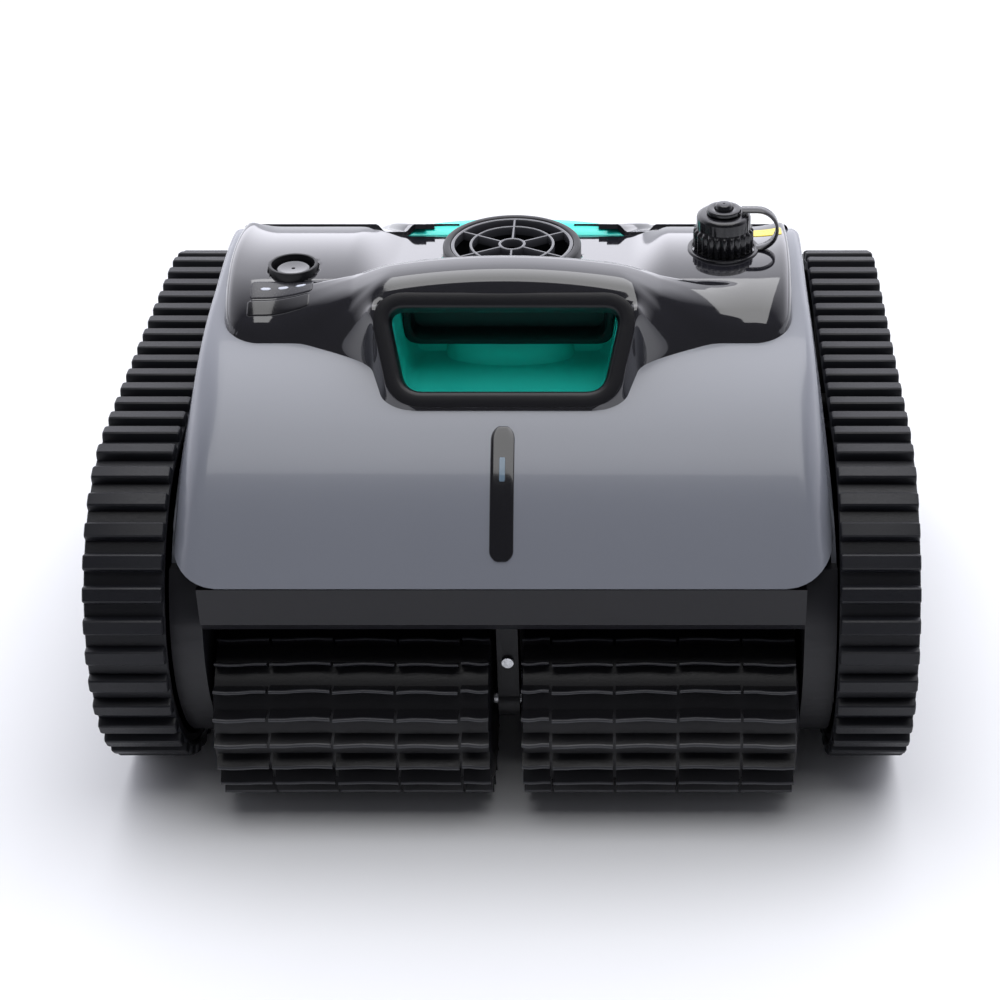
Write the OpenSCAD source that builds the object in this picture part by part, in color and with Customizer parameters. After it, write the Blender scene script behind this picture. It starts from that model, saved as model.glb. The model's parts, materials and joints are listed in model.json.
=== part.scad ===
// Cordless robotic pool cleaner: tracked floor robot with two rubber brush
// rollers, a lift-up rear cover over a filter basket, and a pump in the middle.
// +X is the robot's left-to-right width, -Y is its front, +Z is up.
// Parts are drawn from the front wheel axle's line and moved into the frame.

/* [Overall] */
// Overall width over the two tracks
overall_w = 410; // [360:1:500]
// Distance from the front wheel axle to the rear wheel axle
wheelbase = 190; // [175:1:235]

/* [Tracks and wheels] */
// Radius over the cleats at each end of a track
track_r = 92; // [86:1:110]
// Width of one rubber track
belt_w = 40; // [36:1:50]
// Height of a cleat above the belt
cleat_h = 5; // [3:0.5:7]
// Number of cleats round one track
cleat_count = 60; // [48:2:72]
// Thickness of the belt under its cleats
belt_t = 3; // [2:0.5:4]
// Free gap between a wheel's rim and its belt
wheel_gap = 0.3; // [0.3:0.1:0.6]
// Radius of the fixed wheel axles
axle_r = 6; // [5:0.5:8]
// Radial running clearance of every shaft and pin
run_gap = 0.05; // [0.02:0.01:0.1]
// Spokes on a wheel's outer side
spoke_count = 6; // [5:1:8]

/* [Gears] */
// Tooth module of the wheel drive
gear_m = 2; // [1.5:0.25:2]
// Teeth on the motor pinions and brush pinions
pinion_teeth = 16; // [14:1:18]
// Thinning of each tooth flank, for backlash
flank_gap = 0.12; // [0.08:0.02:0.2]

/* [Brushes] */
// Radius of a brush roller over its paddles
brush_r = 50; // [44:1:54]
// Depth of the rubber paddles
paddle_h = 7; // [4:1:9]
// Rows of paddles round a roller
paddle_rows = 22; // [16:1:28]
// Radius of the roller's plastic core
core_r = 30; // [24:1:34]
// Radius of the roller's shaft
brush_shaft_r = 4; // [3:0.5:5]
// Width of the bracket between the two rollers
bracket_w = 11; // [8:1:16]

/* [Body] */
// Height of the chassis floor above the ground
floor_z = 20; // [15:1:26]
// Width of the grey band on each side of the deck
band_w = 16; // [12:1:24]
// Wall of the chassis and of the covers
wall = 3; // [2.5:0.25:4]
// Gap round the rear cover
cover_gap = 0.5; // [0.4:0.1:1]
// Radius of the rear cover's hinge pins
hinge_r = 1.5; // [1:0.1:1.8]

/* [Deck] */
// Radius of the water outlet
outlet_r = 32.5; // [28:0.5:34]
// Radius of the power button
button_r = 9; // [7:0.1:10]
// Radius of the charging port's stub
port_r = 11; // [9:0.5:12]
// Half width of the grip opening at its top
grip_hw = 57; // [50:1:60]

/* [Inside] */
// Width of one water inlet
inlet_w = 80; // [60:1:90]
// Length of one water inlet
inlet_len = 35; // [25:1:40]
// Radius of the pump's impeller
impeller_r = 30; // [26:0.5:31]
// Radius of a drive motor
motor_r = 18; // [14:1:20]

/* [Hidden] */
$fn = 64;
tiny = 0.01;
shell_grey = [0.42, 0.44, 0.49];
gloss_black = [0.06, 0.06, 0.07];
satin_black = [0.12, 0.12, 0.14];
rubber_black = [0.07, 0.07, 0.08];
teal = [0.12, 0.72, 0.64];
steel = [0.70, 0.71, 0.73];
white_plastic = [0.86, 0.87, 0.88];

// Widths, from the middle outwards
track_out = overall_w / 2;
body_hw = track_out - belt_w;
deck_hw = body_hw - band_w;
cover_hw = deck_hw - cover_gap;
brush_in = bracket_w / 2 + 2.5;
brush_out = deck_hw - 1;

// Track and wheel radii
axle_z = track_r;
belt_out = track_r - cleat_h;
belt_in = belt_out - belt_t;
wheel_r = belt_in - wheel_gap;
rim_t = 3;
hub_r = 14;
hub_cap_r = 20;
hub_cap_x = track_out - 6;
spoke_w = 6;
loop_len = 2 * PI * belt_out + 2 * wheelbase;
cleat_len = 8;
cleat_sink = 1;

// Gear train: a ring gear in each front wheel drives a brush pinion
dedendum = 1.25 * gear_m;
ring_teeth = floor(2 * (wheel_r - rim_t - dedendum) / gear_m);
ring_pitch_r = gear_m * ring_teeth / 2;
pinion_pitch_r = gear_m * pinion_teeth / 2;
mesh_d = ring_pitch_r - pinion_pitch_r;
pressure = 20;
flank_steps = 4;
gear_x0 = body_hw + 3;
gear_w = 8;
web_x0 = gear_x0 + gear_w + 2;
web_t = 3;
pod_gap = 1.5;
belt_x0 = body_hw + 0.5;

// Brush axis lies one mesh distance from the front axle
brush_z = brush_r;
brush_y = -sqrt(mesh_d * mesh_d - (axle_z - brush_z) * (axle_z - brush_z));
brush_angle = atan2(brush_z - axle_z, brush_y);
drive_angle = 0;
drive_y = mesh_d;
bay_r = brush_r + 3;
bush_wall = 3;

// Lengths, from the front axle backwards
front_len = brush_r - brush_y;
rear_len = wheelbase + track_r;
axle_y = front_len - (front_len + rear_len) / 2;
rear_y = wheelbase + 90;
seam_y = rear_y - 148;
seam_rear_z = 97;
seam_front_z = 142;
nose_y = -83;
pod_r = track_r - 14;

// Outlines of the skins, as smooth curves
nose_top = [54, 229];
nose_line = curve([nose_y, seam_front_z], [-52, 182], [-30, 215], nose_top, 12);
band_line = concat(nose_line, [[seam_y - 16, nose_top[1]]]);
wing_line = curve([20, 224.5], [36, 247], [66, 257], [seam_y - 0.4, 236], 12);
cover_line = curve([seam_y + cover_gap + 0.4 * wall, 236], [seam_y + 58, 212],
    [rear_y - 10, 178], [rear_y, seam_rear_z + 3], 12);
band_drop = 3;

// Chassis outline from its rear seam, under the floor, round the chin and up round the brush
bay_angle = -10;
chin_lip = [[-74, 112], [-79, 118], [-79.5, 139]];
chin = around_brush(bay_r, bay_angle);
tub_line = concat(
    curve([rear_y, seam_rear_z], [rear_y + 1, 50], [rear_y - 8, floor_z], [rear_y - 44, floor_z], 8),
    curve([chin[0] + 16, floor_z], [chin[0] + 2, floor_z], chin + [1.6, -10], chin, 5),
    [for (a = [bay_angle + 10 : 10 : 90]) around_brush(bay_r, a)],
    chin_lip);
seam_slope = (seam_front_z - seam_rear_z) / (rear_y - nose_y);

// Handle: a sloping frame, a bridge over it and a cup behind it
frame_y = -16;
frame_z = 205;
frame_rise = 46;
frame_run = 34;
frame_len = norm([frame_run, frame_rise]);
frame_tilt = atan2(frame_rise, frame_run);
frame_t = 4;
frame_foot_hw = grip_hw + 1;
frame_head_hw = grip_hw + 13;
grip_foot_hw = grip_hw - 9;
centre_hw = 64;
cup_floor_z = 200;
cup_back_y = 51;
cup_t = 2;
cup_gap = 0.6;
cup_top_z = 236;
liner_z0 = 212;
liner_z1 = 243;
liner_inset = 3;
deck_under_z = 230;
plate_front = [50, 244];
plate_rear = [seam_y - 0.4, deck_under_z + 0.5];
bridge_line = [[13, 246], [20, 259], [31, 262.5], [41, 259], [41, 250], [24, 247]];
frame_round = 9;
grip_round = 7;
grip_rim = 8;

// Outlet and pump, on one vertical axis
pump_y = seam_y - 41;
ring_t = 4;
ring_top = 245;
ring_z0 = 228;
pump_z0 = 128;
pump_t = 2.5;
pump_r = 32.6;
pump_inlet_r = 8;
pump_port_w = 22;
pump_motor_r = 22;
pump_motor_h = 66;
impeller_z = 206;
impeller_h = 16;
impeller_blades = 5;
impeller_hub_r = 9;
pump_shaft_r = 3;
pump_shaft_len = 28;

// Drive motors with their gear heads, and the battery between them
motor_len = 42;
gear_head_len = 18;
pinion_grip = 11;
motor_x1 = deck_hw - wall;
motor_x0 = motor_x1 - motor_len;
gear_head_x0 = motor_x0 - gear_head_len;
battery_hw = min(85, gear_head_x0 - 1);
battery_y0 = 12;
battery_len = 38;
battery_z0 = 60;
battery_h = 128;

// Control board under the button's wing, with its chips as [x, y, width, length]
board_w = 52;
board_len = 62;
board_t = 1.8;
board_y0 = 62;
board_z = 205;
chip_h = 4;
chips = [[8, 10, 16, 14], [30, 12, 12, 12], [12, 38, 24, 12], [36, 40, 8, 16]];

// Charging port and power button stand on the deck's two wings
port_x = deck_hw - 38;
port_y = 79;
pad_r = 19.5;
pad_top = 247;
pad_h = 9;
stub_top = 262;
stub_z0 = 222;
pin_r = 1.2;
pin_z0 = 230;
pin_pitch = 4;
cap_r = 14.1;
knurl_r = 15.7;
cap_z0 = pad_top + 0.5;
knurl_top = 259;
cap_top = 267.5;
cap_tip_r = 4.5;
cap_tip_top = 273;
strap_w = 7;
strap_t = 1.6;
cap_ring_r = 9;
cap_ring_z = cap_top + 0.8;
cap_ring_h = 2.2;
button_y = 58;
button_top = 246.5;
button_z0 = 240;
button_lip = 1.7;
well_floor_z = 231.5;
strip_y = 36;
notice_y = 100;

// Rear: hinge, basket, inlets, louvres and the release button
hinge_bead = 3;
hinge_y = rear_y - hinge_bead + 0.2;
hinge_z = seam_rear_z + hinge_bead + 0.4;
pin_depth = 11;
pull_hw = 60;
pull_cut_y = seam_y + 15;
basket_y0 = seam_y - 1;
basket_hw = min(120, deck_hw - 29);
basket_t = 2;
basket_z0 = 28;
inlet_y0 = seam_y + 28;
inlet_x = 65;
flap_r = 2.2;
flap_pin_r = 1.2;
ear_t = 3;
flap_t = 1.8;
flap_y = inlet_y0 - 3;
flap_z = basket_z0 + basket_t + flap_r + 0.4;
louvre_in = 16.5;
louvre_out = deck_hw - 25.5;
louvre_z0 = 46;
louvre_z1 = 72;
louvre_count = 5;
louvre_depth = 9;
hex_r = 7;
hex_z = 78;
hex_gap = 0.4;
hex_depth = 8;
hex_lip = 2.5;

// ---- helpers ----

// Cubic curve through p0 and p3, pulled towards p1 and p2
function curve(p0, p1, p2, p3, n) =
    [for (i = [0 : n]) let (t = i / n, u = 1 - t)
        u * u * u * p0 + 3 * u * u * t * p1 + 3 * u * t * t * p2 + t * t * t * p3];

function around_brush(r, a) = [brush_y + r * cos(a), brush_z + r * sin(a)];

function unit(v) = v / norm(v);

// Direction square to a line at its point i, on the line's right-hand side
function square_to(line, i) =
    let (a = line[max(i - 1, 0)], b = line[min(i + 1, len(line) - 1)], d = unit(b - a))
    [d[1], -d[0]];

// The line moved sideways by t
function beside(line, t) = [for (i = [0 : len(line) - 1]) line[i] + t * square_to(line, i)];

function reversed(line) = [for (i = [len(line) - 1 : -1 : 0]) line[i]];

// A wall of thickness t along the right-hand side of a line
function band(line, t) = concat(line, reversed(beside(line, t)));

// A polygon with its corners rounded, each from a distance d before the corner
function softened(pts, d) =
    [for (i = [0 : len(pts) - 1])
        let (c = pts[i],
             a = c + d * unit(pts[(i + len(pts) - 1) % len(pts)] - c),
             b = c + d * unit(pts[(i + 1) % len(pts)] - c))
        for (t = [0 : 0.25 : 1]) (1 - t) * (1 - t) * a + 2 * t * (1 - t) * c + t * t * b];

function trapezoid(v0, v1, hw0, hw1) = [[-hw0, v0], [hw0, v0], [hw1, v1], [-hw1, v1]];

// Height of the seam between the grey shell and the black chassis
function seam_z(y) = seam_rear_z + (rear_y - y) * seam_slope;

function wing_z(y) = lookup(y, wing_line);

// Involute gear: half a tooth's angle at radius r
function inv(a) = tan(a) - a * PI / 180;
function tooth_half(teeth, r, grow) =
    let (pitch_r = gear_m * teeth / 2, base_r = pitch_r * cos(pressure))
    90 / teeth + grow * 180 / PI / pitch_r
    + 180 / PI * (inv(pressure) - inv(acos(min(1, base_r / r))));

// Outline of a gear whose first tooth points at the given angle
function gear_outline(teeth, root_r, tip_r, grow, phase) =
    [for (i = [0 : teeth - 1])
        let (c = phase + i * 360 / teeth)
        each concat(
            [for (k = [0 : flank_steps]) let (r = root_r + (tip_r - root_r) * k / flank_steps)
                r * [cos(c - tooth_half(teeth, r, grow)), sin(c - tooth_half(teeth, r, grow))]],
            [for (k = [flank_steps : -1 : 0]) let (r = root_r + (tip_r - root_r) * k / flank_steps)
                r * [cos(c + tooth_half(teeth, r, grow)), sin(c + tooth_half(teeth, r, grow))]])];

// Angle of a pinion tooth that sits in a space of the ring gear
function mesh_phase(angle) =
    let (pitch = 360 / ring_teeth, off = (brush_angle - angle) % pitch)
    angle + off * ring_teeth / pinion_teeth;

// Moves what is drawn from the front axle's line into the object's frame
module from_axle() {
    translate([0, axle_y, 0]) children();
}

// Draws a side-view outline (y, z) as a solid from x0 to x1
module along_x(x0, x1) {
    translate([x0, 0, 0]) rotate([90, 0, 90]) linear_extrude(height = x1 - x0) children();
}

// The same on the left (side -1) or right (side 1), measured from the middle
module beside_x(side, x0, x1) {
    along_x(side > 0 ? x0 : -x1, side > 0 ? x1 : -x0) children();
}

// Draws a front-view outline (x, z) as a solid from y0 to y1
module along_y(y0, y1) {
    translate([0, y1, 0]) rotate([90, 0, 0]) linear_extrude(height = y1 - y0) children();
}

module rod_x(side, y, z, r, x0, x1) {
    beside_x(side, x0, x1) translate([y, z]) circle(r = r);
}

// A loop shape round both wheels, at radius r
module stadium(r) {
    translate([0, axle_z]) circle(r = r);
    translate([wheelbase, axle_z]) circle(r = r);
    translate([0, axle_z - r]) square([wheelbase, 2 * r]);
}

// Everything below the seam between shell and chassis
module below_seam() {
    polygon([[nose_y - 20, -10], [rear_y + 20, -10],
        [rear_y + 20, seam_z(rear_y + 20)], [nose_y - 20, seam_z(nose_y - 20)]]);
}

// ---- chassis ----

module tub_outline() {
    polygon(tub_line);
}

module tub_side(side) {
    beside_x(side, deck_hw - wall, deck_hw) intersection() {
        tub_outline();
        below_seam();
    }
    beside_x(side, deck_hw, body_hw) intersection() {
        stadium(pod_r);
        below_seam();
    }
}

module louvre_hole(side, grow) {
    x0 = louvre_in - grow;
    x1 = louvre_out + grow;
    translate([side > 0 ? x0 : -x1, rear_y - louvre_depth - 3, louvre_z0 - grow])
        cube([x1 - x0, louvre_depth + 10, louvre_z1 - louvre_z0 + 2 * grow]);
}

module inlet_hole(side, grow, z0, z1) {
    x0 = inlet_x - inlet_w / 2 - grow;
    translate([side > 0 ? x0 : -x0 - inlet_w - 2 * grow, inlet_y0 - grow, z0])
        cube([inlet_w + 2 * grow, inlet_len + 2 * grow, z1 - z0]);
}

screw_r = 2;
screw_head_r = 4;
screw_head_h = 1.5;
screw_len = 7;
head_gap = 0.2;
screw_spots = [[deck_hw - 20, 40], [deck_hw - 20, rear_y - 56], [0, 30], [0, rear_y - 56]];
module each_case_screw() {
    for (p = screw_spots, side = p[0] == 0 ? [1] : [-1, 1])
        translate([side * p[0], p[1], floor_z]) children();
}

module chassis_tub() {
    color(satin_black) from_axle() difference() {
        union() {
            along_x(-deck_hw, deck_hw) polygon(band(tub_line, wall));
            for (side = [-1, 1]) tub_side(side);
        }
        for (side = [-1, 1]) {
            rod_x(side, 0, axle_z, axle_r, deck_hw + 1, body_hw + 1);
            rod_x(side, wheelbase, axle_z, axle_r, deck_hw + 1, body_hw + 1);
            rod_x(side, brush_y, brush_z, brush_shaft_r + bush_wall, deck_hw - 1, body_hw + 1);
            rod_x(side, drive_y, axle_z, pump_shaft_r + run_gap, deck_hw - wall - 1, body_hw + 1);
            louvre_hole(side, tiny);
            inlet_hole(side, 0, floor_z - 1, floor_z + wall + 1);
        }
        rotate([-90, 0, 0]) translate([0, -hex_z, rear_y - 12])
            cylinder(r = hex_r + hex_gap, h = 30, $fn = 6);
        each_case_screw() translate([0, 0, -1]) {
            cylinder(r = screw_r, h = wall + 2);
            cylinder(r = screw_head_r + head_gap, h = screw_head_h + head_gap / 2 + 1);
        }
    }
}

// ---- grey front shell with its side bands ----

// Front view of the body: upright flanks that lean in at the shoulder
module shoulders(inset) {
    lean = [[0, 80], [0, 150], [6, 184], [9, 212], [13, 231 - inset]];
    right = [for (p = lean) [body_hw - inset - p[0], p[1]]];
    polygon(concat(right, [for (i = [len(right) - 1 : -1 : 0]) [-right[i][0], right[i][1]]]));
}

// Side view of a band: over the nose, along the deck and down the rear cover
side_line = concat(band_line, [for (p = cover_line) p - [0, band_drop]]);

// The hollow under a band, open at the bottom
module band_pocket() {
    polygon(concat(beside(side_line, wall), [[rear_y - wall, 60], [nose_y + wall, 60]]));
}

module pill(x_hw, v0, v1) {
    translate([0, v0]) circle(r = x_hw);
    translate([0, v1]) circle(r = x_hw);
    translate([-x_hw, v0]) square([2 * x_hw, v1 - v0]);
}

window_hw = 6;
window_z0 = 158;
window_z1 = 195;
light_hw = 1.5;
light_z0 = 182;
light_h = 9;

module front_shell() {
    color(shell_grey) from_axle() difference() {
        intersection() {
            union() {
                along_x(-deck_hw - 1, deck_hw + 1) polygon(band(nose_line, wall));
                for (side = [-1, 1]) beside_x(side, deck_hw, body_hw) polygon(side_line);
            }
            along_y(nose_y - 1, rear_y + 1) shoulders(0);
        }
        for (side = [-1, 1]) {
            intersection() {
                beside_x(side, deck_hw + 2.5, body_hw - wall) band_pocket();
                along_y(nose_y - 1, rear_y + 1) shoulders(wall);
            }
            rod_x(side, hinge_y, hinge_z, hinge_r, deck_hw - 1, deck_hw + 9);
        }
        // way through for the handle
        for (ahead = [0, 1.5]) translate([0, -ahead, 0]) cup_form(cup_t + cup_gap);
        handle_frame_slab(0.2);
        along_y(nose_y - 1, frame_y) pill(window_hw, window_z0, window_z1);
    }
}

module status_window() {
    color(gloss_black) from_axle() difference() {
        intersection() {
            along_x(-window_hw, window_hw) polygon(band(beside(nose_line, -0.4), wall));
            along_y(nose_y - 5, frame_y) pill(window_hw - 0.1, window_z0, window_z1);
        }
        light_slot(0);
    }
}

module light_slot(shrink) {
    translate([-light_hw + shrink, nose_y, light_z0 + shrink])
        cube([2 * (light_hw - shrink), -nose_y, light_h - 2 * shrink]);
}

module status_light() {
    color([0.3, 0.75, 0.95]) from_axle() intersection() {
        along_x(-window_hw, window_hw) polygon(band(beside(nose_line, -0.2), wall));
        light_slot(tiny);
    }
}

// ---- black top deck with the handle ----

module wing_side(side, x0, x1) {
    beside_x(side, x0, x1) polygon(concat(wing_line,
        [[seam_y - 0.4, deck_under_z], [nose_top[0], deck_under_z], [20, 223.5]]));
}

module on_handle_slope(depth) {
    translate([0, frame_y, frame_z]) rotate([frame_tilt, 0, 0])
        translate([0, 0, -depth]) linear_extrude(height = frame_t + 2 * depth) children();
}

module handle_frame_slab(grow) {
    on_handle_slope(grow)
        polygon(softened(trapezoid(-grow, frame_len, frame_foot_hw + grow, frame_head_hw + grow),
            frame_round));
}

module handle_frame() {
    on_handle_slope(0) difference() {
        polygon(softened(trapezoid(0, frame_len, frame_foot_hw, frame_head_hw), frame_round));
        polygon(softened(trapezoid(grip_rim, frame_len - grip_rim, grip_foot_hw, grip_hw),
            grip_round));
    }
}

module handle_bridge() {
    along_x(-frame_head_hw, frame_head_hw) polygon(softened(bridge_line, 2.5));
}

module top_deck() {
    color(gloss_black) from_axle() difference() {
        union() {
            for (side = [-1, 1]) {
                beside_x(side, centre_hw, deck_hw) polygon(band(wing_line, wall));
                wing_side(side, deck_hw - wall, deck_hw);
                wing_side(side, centre_hw, centre_hw + wall);
            }
            along_x(-centre_hw, centre_hw) polygon(band([plate_front, plate_rear], wall));
            handle_frame();
            handle_bridge();
            translate([-port_x, button_y, well_floor_z - 2])
                cylinder(r = button_r + button_lip + 2.4, h = button_top - well_floor_z - 2.5);
        }
        translate([0, pump_y, ring_z0 - 5]) cylinder(r = outlet_r + ring_t + 0.1, h = 40);
        translate([port_x, port_y, 200]) cylinder(r = pad_r + 0.1, h = 80);
        translate([-port_x, button_y, well_floor_z])
            cylinder(r = button_r + button_lip + 0.3, h = button_z0 + 0.2 - well_floor_z);
        translate([-port_x, button_y, well_floor_z]) cylinder(r = button_r + 0.3, h = 40);
    }
}

// Teal cup that the fingers reach into, under the bridge
module cup_form(grow) {
    z = cup_floor_z - grow;
    back = cup_back_y + grow;
    foot = [frame_y + 8, frame_z + 4 - grow];
    intersection() {
        along_x(-frame_head_hw, frame_head_hw)
            polygon([foot, [2, z], [back, z], [back, cup_top_z],
                foot + 0.72 * frame_len * [cos(frame_tilt), sin(frame_tilt)]]);
        translate([0, 0, z - 1]) linear_extrude(height = 60)
            polygon([[-grip_foot_hw - grow, frame_y], [grip_foot_hw + grow, frame_y],
                [grip_hw + grow, 20], [grip_hw + grow, 60],
                [-grip_hw - grow, 60], [-grip_hw - grow, 20]]);
    }
}

module handle_cup() {
    color(teal) from_axle() difference() {
        cup_form(cup_t);
        translate([0, -cup_t / 2, tiny]) cup_form(0);
        translate([0, 0, cup_t + 1]) cup_form(0);
        translate([0, -cup_t - 2, 2]) cup_form(0);
    }
}

module grip_liner() {
    hw = grip_hw - liner_inset;
    color(gloss_black) from_axle() along_y(cup_back_y - 5, cup_back_y - 2)
        polygon(softened([[-hw, liner_z0], [hw, liner_z0], [hw, liner_z1], [-hw, liner_z1]], 6));
}

module outlet_ring() {
    color(satin_black) from_axle() translate([0, pump_y, ring_z0]) difference() {
        cylinder(r = outlet_r + ring_t, h = ring_top - ring_z0);
        translate([0, 0, -1]) cylinder(r = outlet_r, h = 40);
    }
}

module outlet_grille() {
    hub = [5.5, 8];
    middle = [20.8, 23];
    rim = [outlet_r - 2.5, outlet_r - 0.05];
    bar_w = 2.2;
    color(satin_black) from_axle() translate([0, pump_y, ring_top - 5]) linear_extrude(height = 4) {
        for (ring = [hub, middle, rim]) difference() {
            circle(r = ring[1]);
            circle(r = ring[0]);
        }
        for (i = [0 : 5]) rotate(90 + i * 60)
            translate([hub[0] + 1, -bar_w / 2]) square([rim[0] - hub[0], bar_w]);
    }
}

// A thin label that lies on a wing of the deck
module wing_label(x0, x1, y0, y1) {
    along_x(x0, x1) polygon(concat(
        [for (y = [y0 : 2 : y1]) [y, wing_z(y) + 0.1]],
        [for (y = [y1 : -2 : y0]) [y, wing_z(y) + 0.5]]));
}

module control_label() {
    color([0.25, 0.25, 0.28]) from_axle()
        wing_label(-port_x - 20, -port_x + 12, strip_y, strip_y + 10);
}

module warning_label() {
    color([0.95, 0.8, 0.1]) from_axle()
        wing_label(port_x + 16, port_x + 32, notice_y, notice_y + 14);
}

module power_button() {
    color(satin_black) from_axle() translate([-port_x, button_y, 0]) {
        translate([0, 0, button_z0]) cylinder(r = button_r, h = button_top - button_z0);
        translate([0, 0, button_z0 - 2]) cylinder(r = button_r + button_lip, h = 2);
    }
}

module power_spring() {
    turns = 4;
    wire_r = 0.5;
    low = well_floor_z + wire_r;
    high = button_z0 - 2 - wire_r;
    color(steel) from_axle() translate([-port_x, button_y, 0]) {
        for (i = [0 : turns]) translate([0, 0, low + i * (high - low) / turns])
            rotate_extrude() translate([5, 0]) circle(r = wire_r, $fn = 16);
        for (side = [-1, 1]) translate([side * 5, 0, low]) cylinder(r = wire_r / 2, h = high - low);
    }
}

// ---- charging port ----

module at_port(z) {
    from_axle() translate([port_x, port_y, z]) children();
}

module charge_port() {
    color(satin_black) at_port(0) difference() {
        union() {
            translate([0, 0, pad_top - pad_h]) cylinder(r = pad_r, h = pad_h);
            translate([0, 0, stub_z0]) cylinder(r = port_r, h = stub_top - stub_z0);
        }
        for (i = [-1 : 1]) translate([pin_pitch * i, 0, pin_z0]) cylinder(r = pin_r, h = stub_top);
    }
}

module charge_pins() {
    color([0.83, 0.68, 0.3]) at_port(pin_z0) for (i = [-1 : 1])
        translate([pin_pitch * i, 0, 0]) cylinder(r = pin_r, h = stub_top + 2 - pin_z0);
}

module charge_cap() {
    lobes = 24;
    lobe_depth = 0.7;
    color(rubber_black) at_port(0) difference() {
        union() {
            translate([0, 0, cap_z0]) linear_extrude(height = knurl_top - cap_z0)
                polygon([for (i = [0 : 2 * lobes - 1]) let (r = knurl_r - (i % 2) * lobe_depth)
                    r * [cos(i * 180 / lobes), sin(i * 180 / lobes)]]);
            translate([0, 0, cap_z0]) cylinder(r = cap_r, h = cap_top - cap_z0);
            cylinder(r = cap_tip_r, h = cap_tip_top);
        }
        translate([0, 0, -1]) cylinder(r = port_r + run_gap, h = stub_top + 4);
    }
}

module cap_ring() {
    color(rubber_black) at_port(cap_ring_z) difference() {
        cylinder(r = cap_ring_r, h = cap_ring_h);
        translate([0, 0, -1]) cylinder(r = cap_tip_r + 0.3, h = cap_ring_h + 2);
    }
}

module cap_strap() {
    low = pad_top + strap_t / 2;
    high = cap_ring_z + cap_ring_h / 2;
    arc_r = (high - low) / 2;
    foot_r = knurl_r + 0.5;
    bend_x = foot_r + 1;
    color(rubber_black) at_port(0) {
        translate([0, 0, pad_top]) difference() {
            cylinder(r = foot_r + 2.5, h = strap_t);
            translate([0, 0, -1]) cylinder(r = foot_r, h = 5);
        }
        translate([cap_ring_r + 0.3, -strap_w / 2, high - strap_t / 2])
            cube([bend_x - cap_ring_r, strap_w, strap_t]);
        translate([bend_x, 0, (low + high) / 2]) along_y(-strap_w / 2, strap_w / 2)
            intersection() {
                difference() {
                    circle(r = arc_r + strap_t / 2);
                    circle(r = arc_r - strap_t / 2);
                }
                translate([0.1, -20]) square(40);
            }
    }
}

// ---- rear ----

module rear_louvres() {
    x0 = louvre_in;
    x1 = louvre_out;
    deep = rear_y - louvre_depth - 3;
    rim = 1.5;
    slat_h = 15;
    slat_pitch = (x1 - x0) / louvre_count;
    color(satin_black) from_axle() for (side = [-1, 1]) intersection() {
        union() {
            difference() {
                translate([side > 0 ? x0 : -x1, deep, louvre_z0])
                    cube([x1 - x0, 20, louvre_z1 - louvre_z0]);
                translate([(side > 0 ? x0 : -x1) + rim, deep + 2, louvre_z0 + rim])
                    cube([x1 - x0 - 2 * rim, 20, louvre_z1 - louvre_z0 - 2 * rim]);
            }
            for (i = [0 : louvre_count - 1])
                translate([(side > 0 ? x0 : -x1) + (i + 0.3) * slat_pitch, deep + 1, louvre_z0 + 1])
                    cube([slat_pitch * 0.55, 6, slat_h]);
        }
        along_x(-deck_hw, deck_hw) tub_outline();
    }
}

module hex_button() {
    color(satin_black) from_axle() rotate([-90, 0, 0]) translate([0, -hex_z, 0]) {
        translate([0, 0, rear_y - hex_depth]) cylinder(r = hex_r, h = hex_depth + 1.5, $fn = 6);
        translate([0, 0, rear_y - hex_depth]) cylinder(r = hex_r + hex_lip, h = hex_lip);
    }
}

module rear_cover() {
    color(gloss_black) from_axle() difference() {
        union() {
            along_x(-cover_hw, cover_hw) polygon(band(cover_line, wall));
            along_x(-cover_hw, cover_hw) translate([hinge_y, hinge_z]) circle(r = hinge_bead);
        }
        for (side = [-1, 1])
            rod_x(side, hinge_y, hinge_z, hinge_r + run_gap, cover_hw - pin_depth - 1, cover_hw + 1);
        translate([-pull_hw - tiny, seam_y - 5, 200])
            cube([2 * pull_hw + 2 * tiny, pull_cut_y - seam_y + 5, 60]);
    }
}

module cover_pull() {
    color(teal) from_axle() along_x(-pull_hw, pull_hw)
        polygon([[seam_y + cover_gap, 225], [seam_y + cover_gap, 230.5],
            [pull_cut_y, 229.5], [pull_cut_y, 220]]);
}

module hinge_pins() {
    color(steel) from_axle() for (side = [-1, 1])
        rod_x(side, hinge_y, hinge_z, hinge_r, cover_hw - pin_depth, deck_hw + 8);
}

// ---- filter ----

basket_rear_y = rear_y - 22;
basket_line = [[basket_y0, basket_z0], [basket_rear_y - 10, basket_z0],
    [basket_rear_y, basket_z0 + 10], [basket_rear_y, 140], [basket_rear_y - 26, 172],
    [seam_y + 50, 196], [basket_y0, 214]];
window_low = 60;
back_window_hw = 50;

module basket_windows(shrink) {
    y0 = basket_y0 + 14 + shrink;
    y1 = basket_rear_y - 16 - shrink;
    along_x(-basket_hw - 1, basket_hw + 1) polygon([[y0, window_low + shrink],
        [y1, window_low + shrink], [y1, 136 - shrink], [seam_y + 48, 176 - shrink], [y0, 184 - shrink]]);
    translate([-back_window_hw + shrink, basket_y0 - 1, 150 + shrink])
        cube([2 * (back_window_hw - shrink), basket_t + 2, 50 - 2 * shrink]);
}

module basket_walls(t) {
    difference() {
        along_x(-basket_hw, basket_hw) polygon(basket_line);
        along_x(-basket_hw + t, basket_hw - t) polygon([[basket_y0 + t, basket_z0 + t],
            [basket_rear_y - 11, basket_z0 + t], [basket_rear_y - t, basket_z0 + 11],
            [basket_rear_y - t, 170], [seam_y + 50, 230], [basket_y0 + t, 230]]);
    }
}

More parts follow.
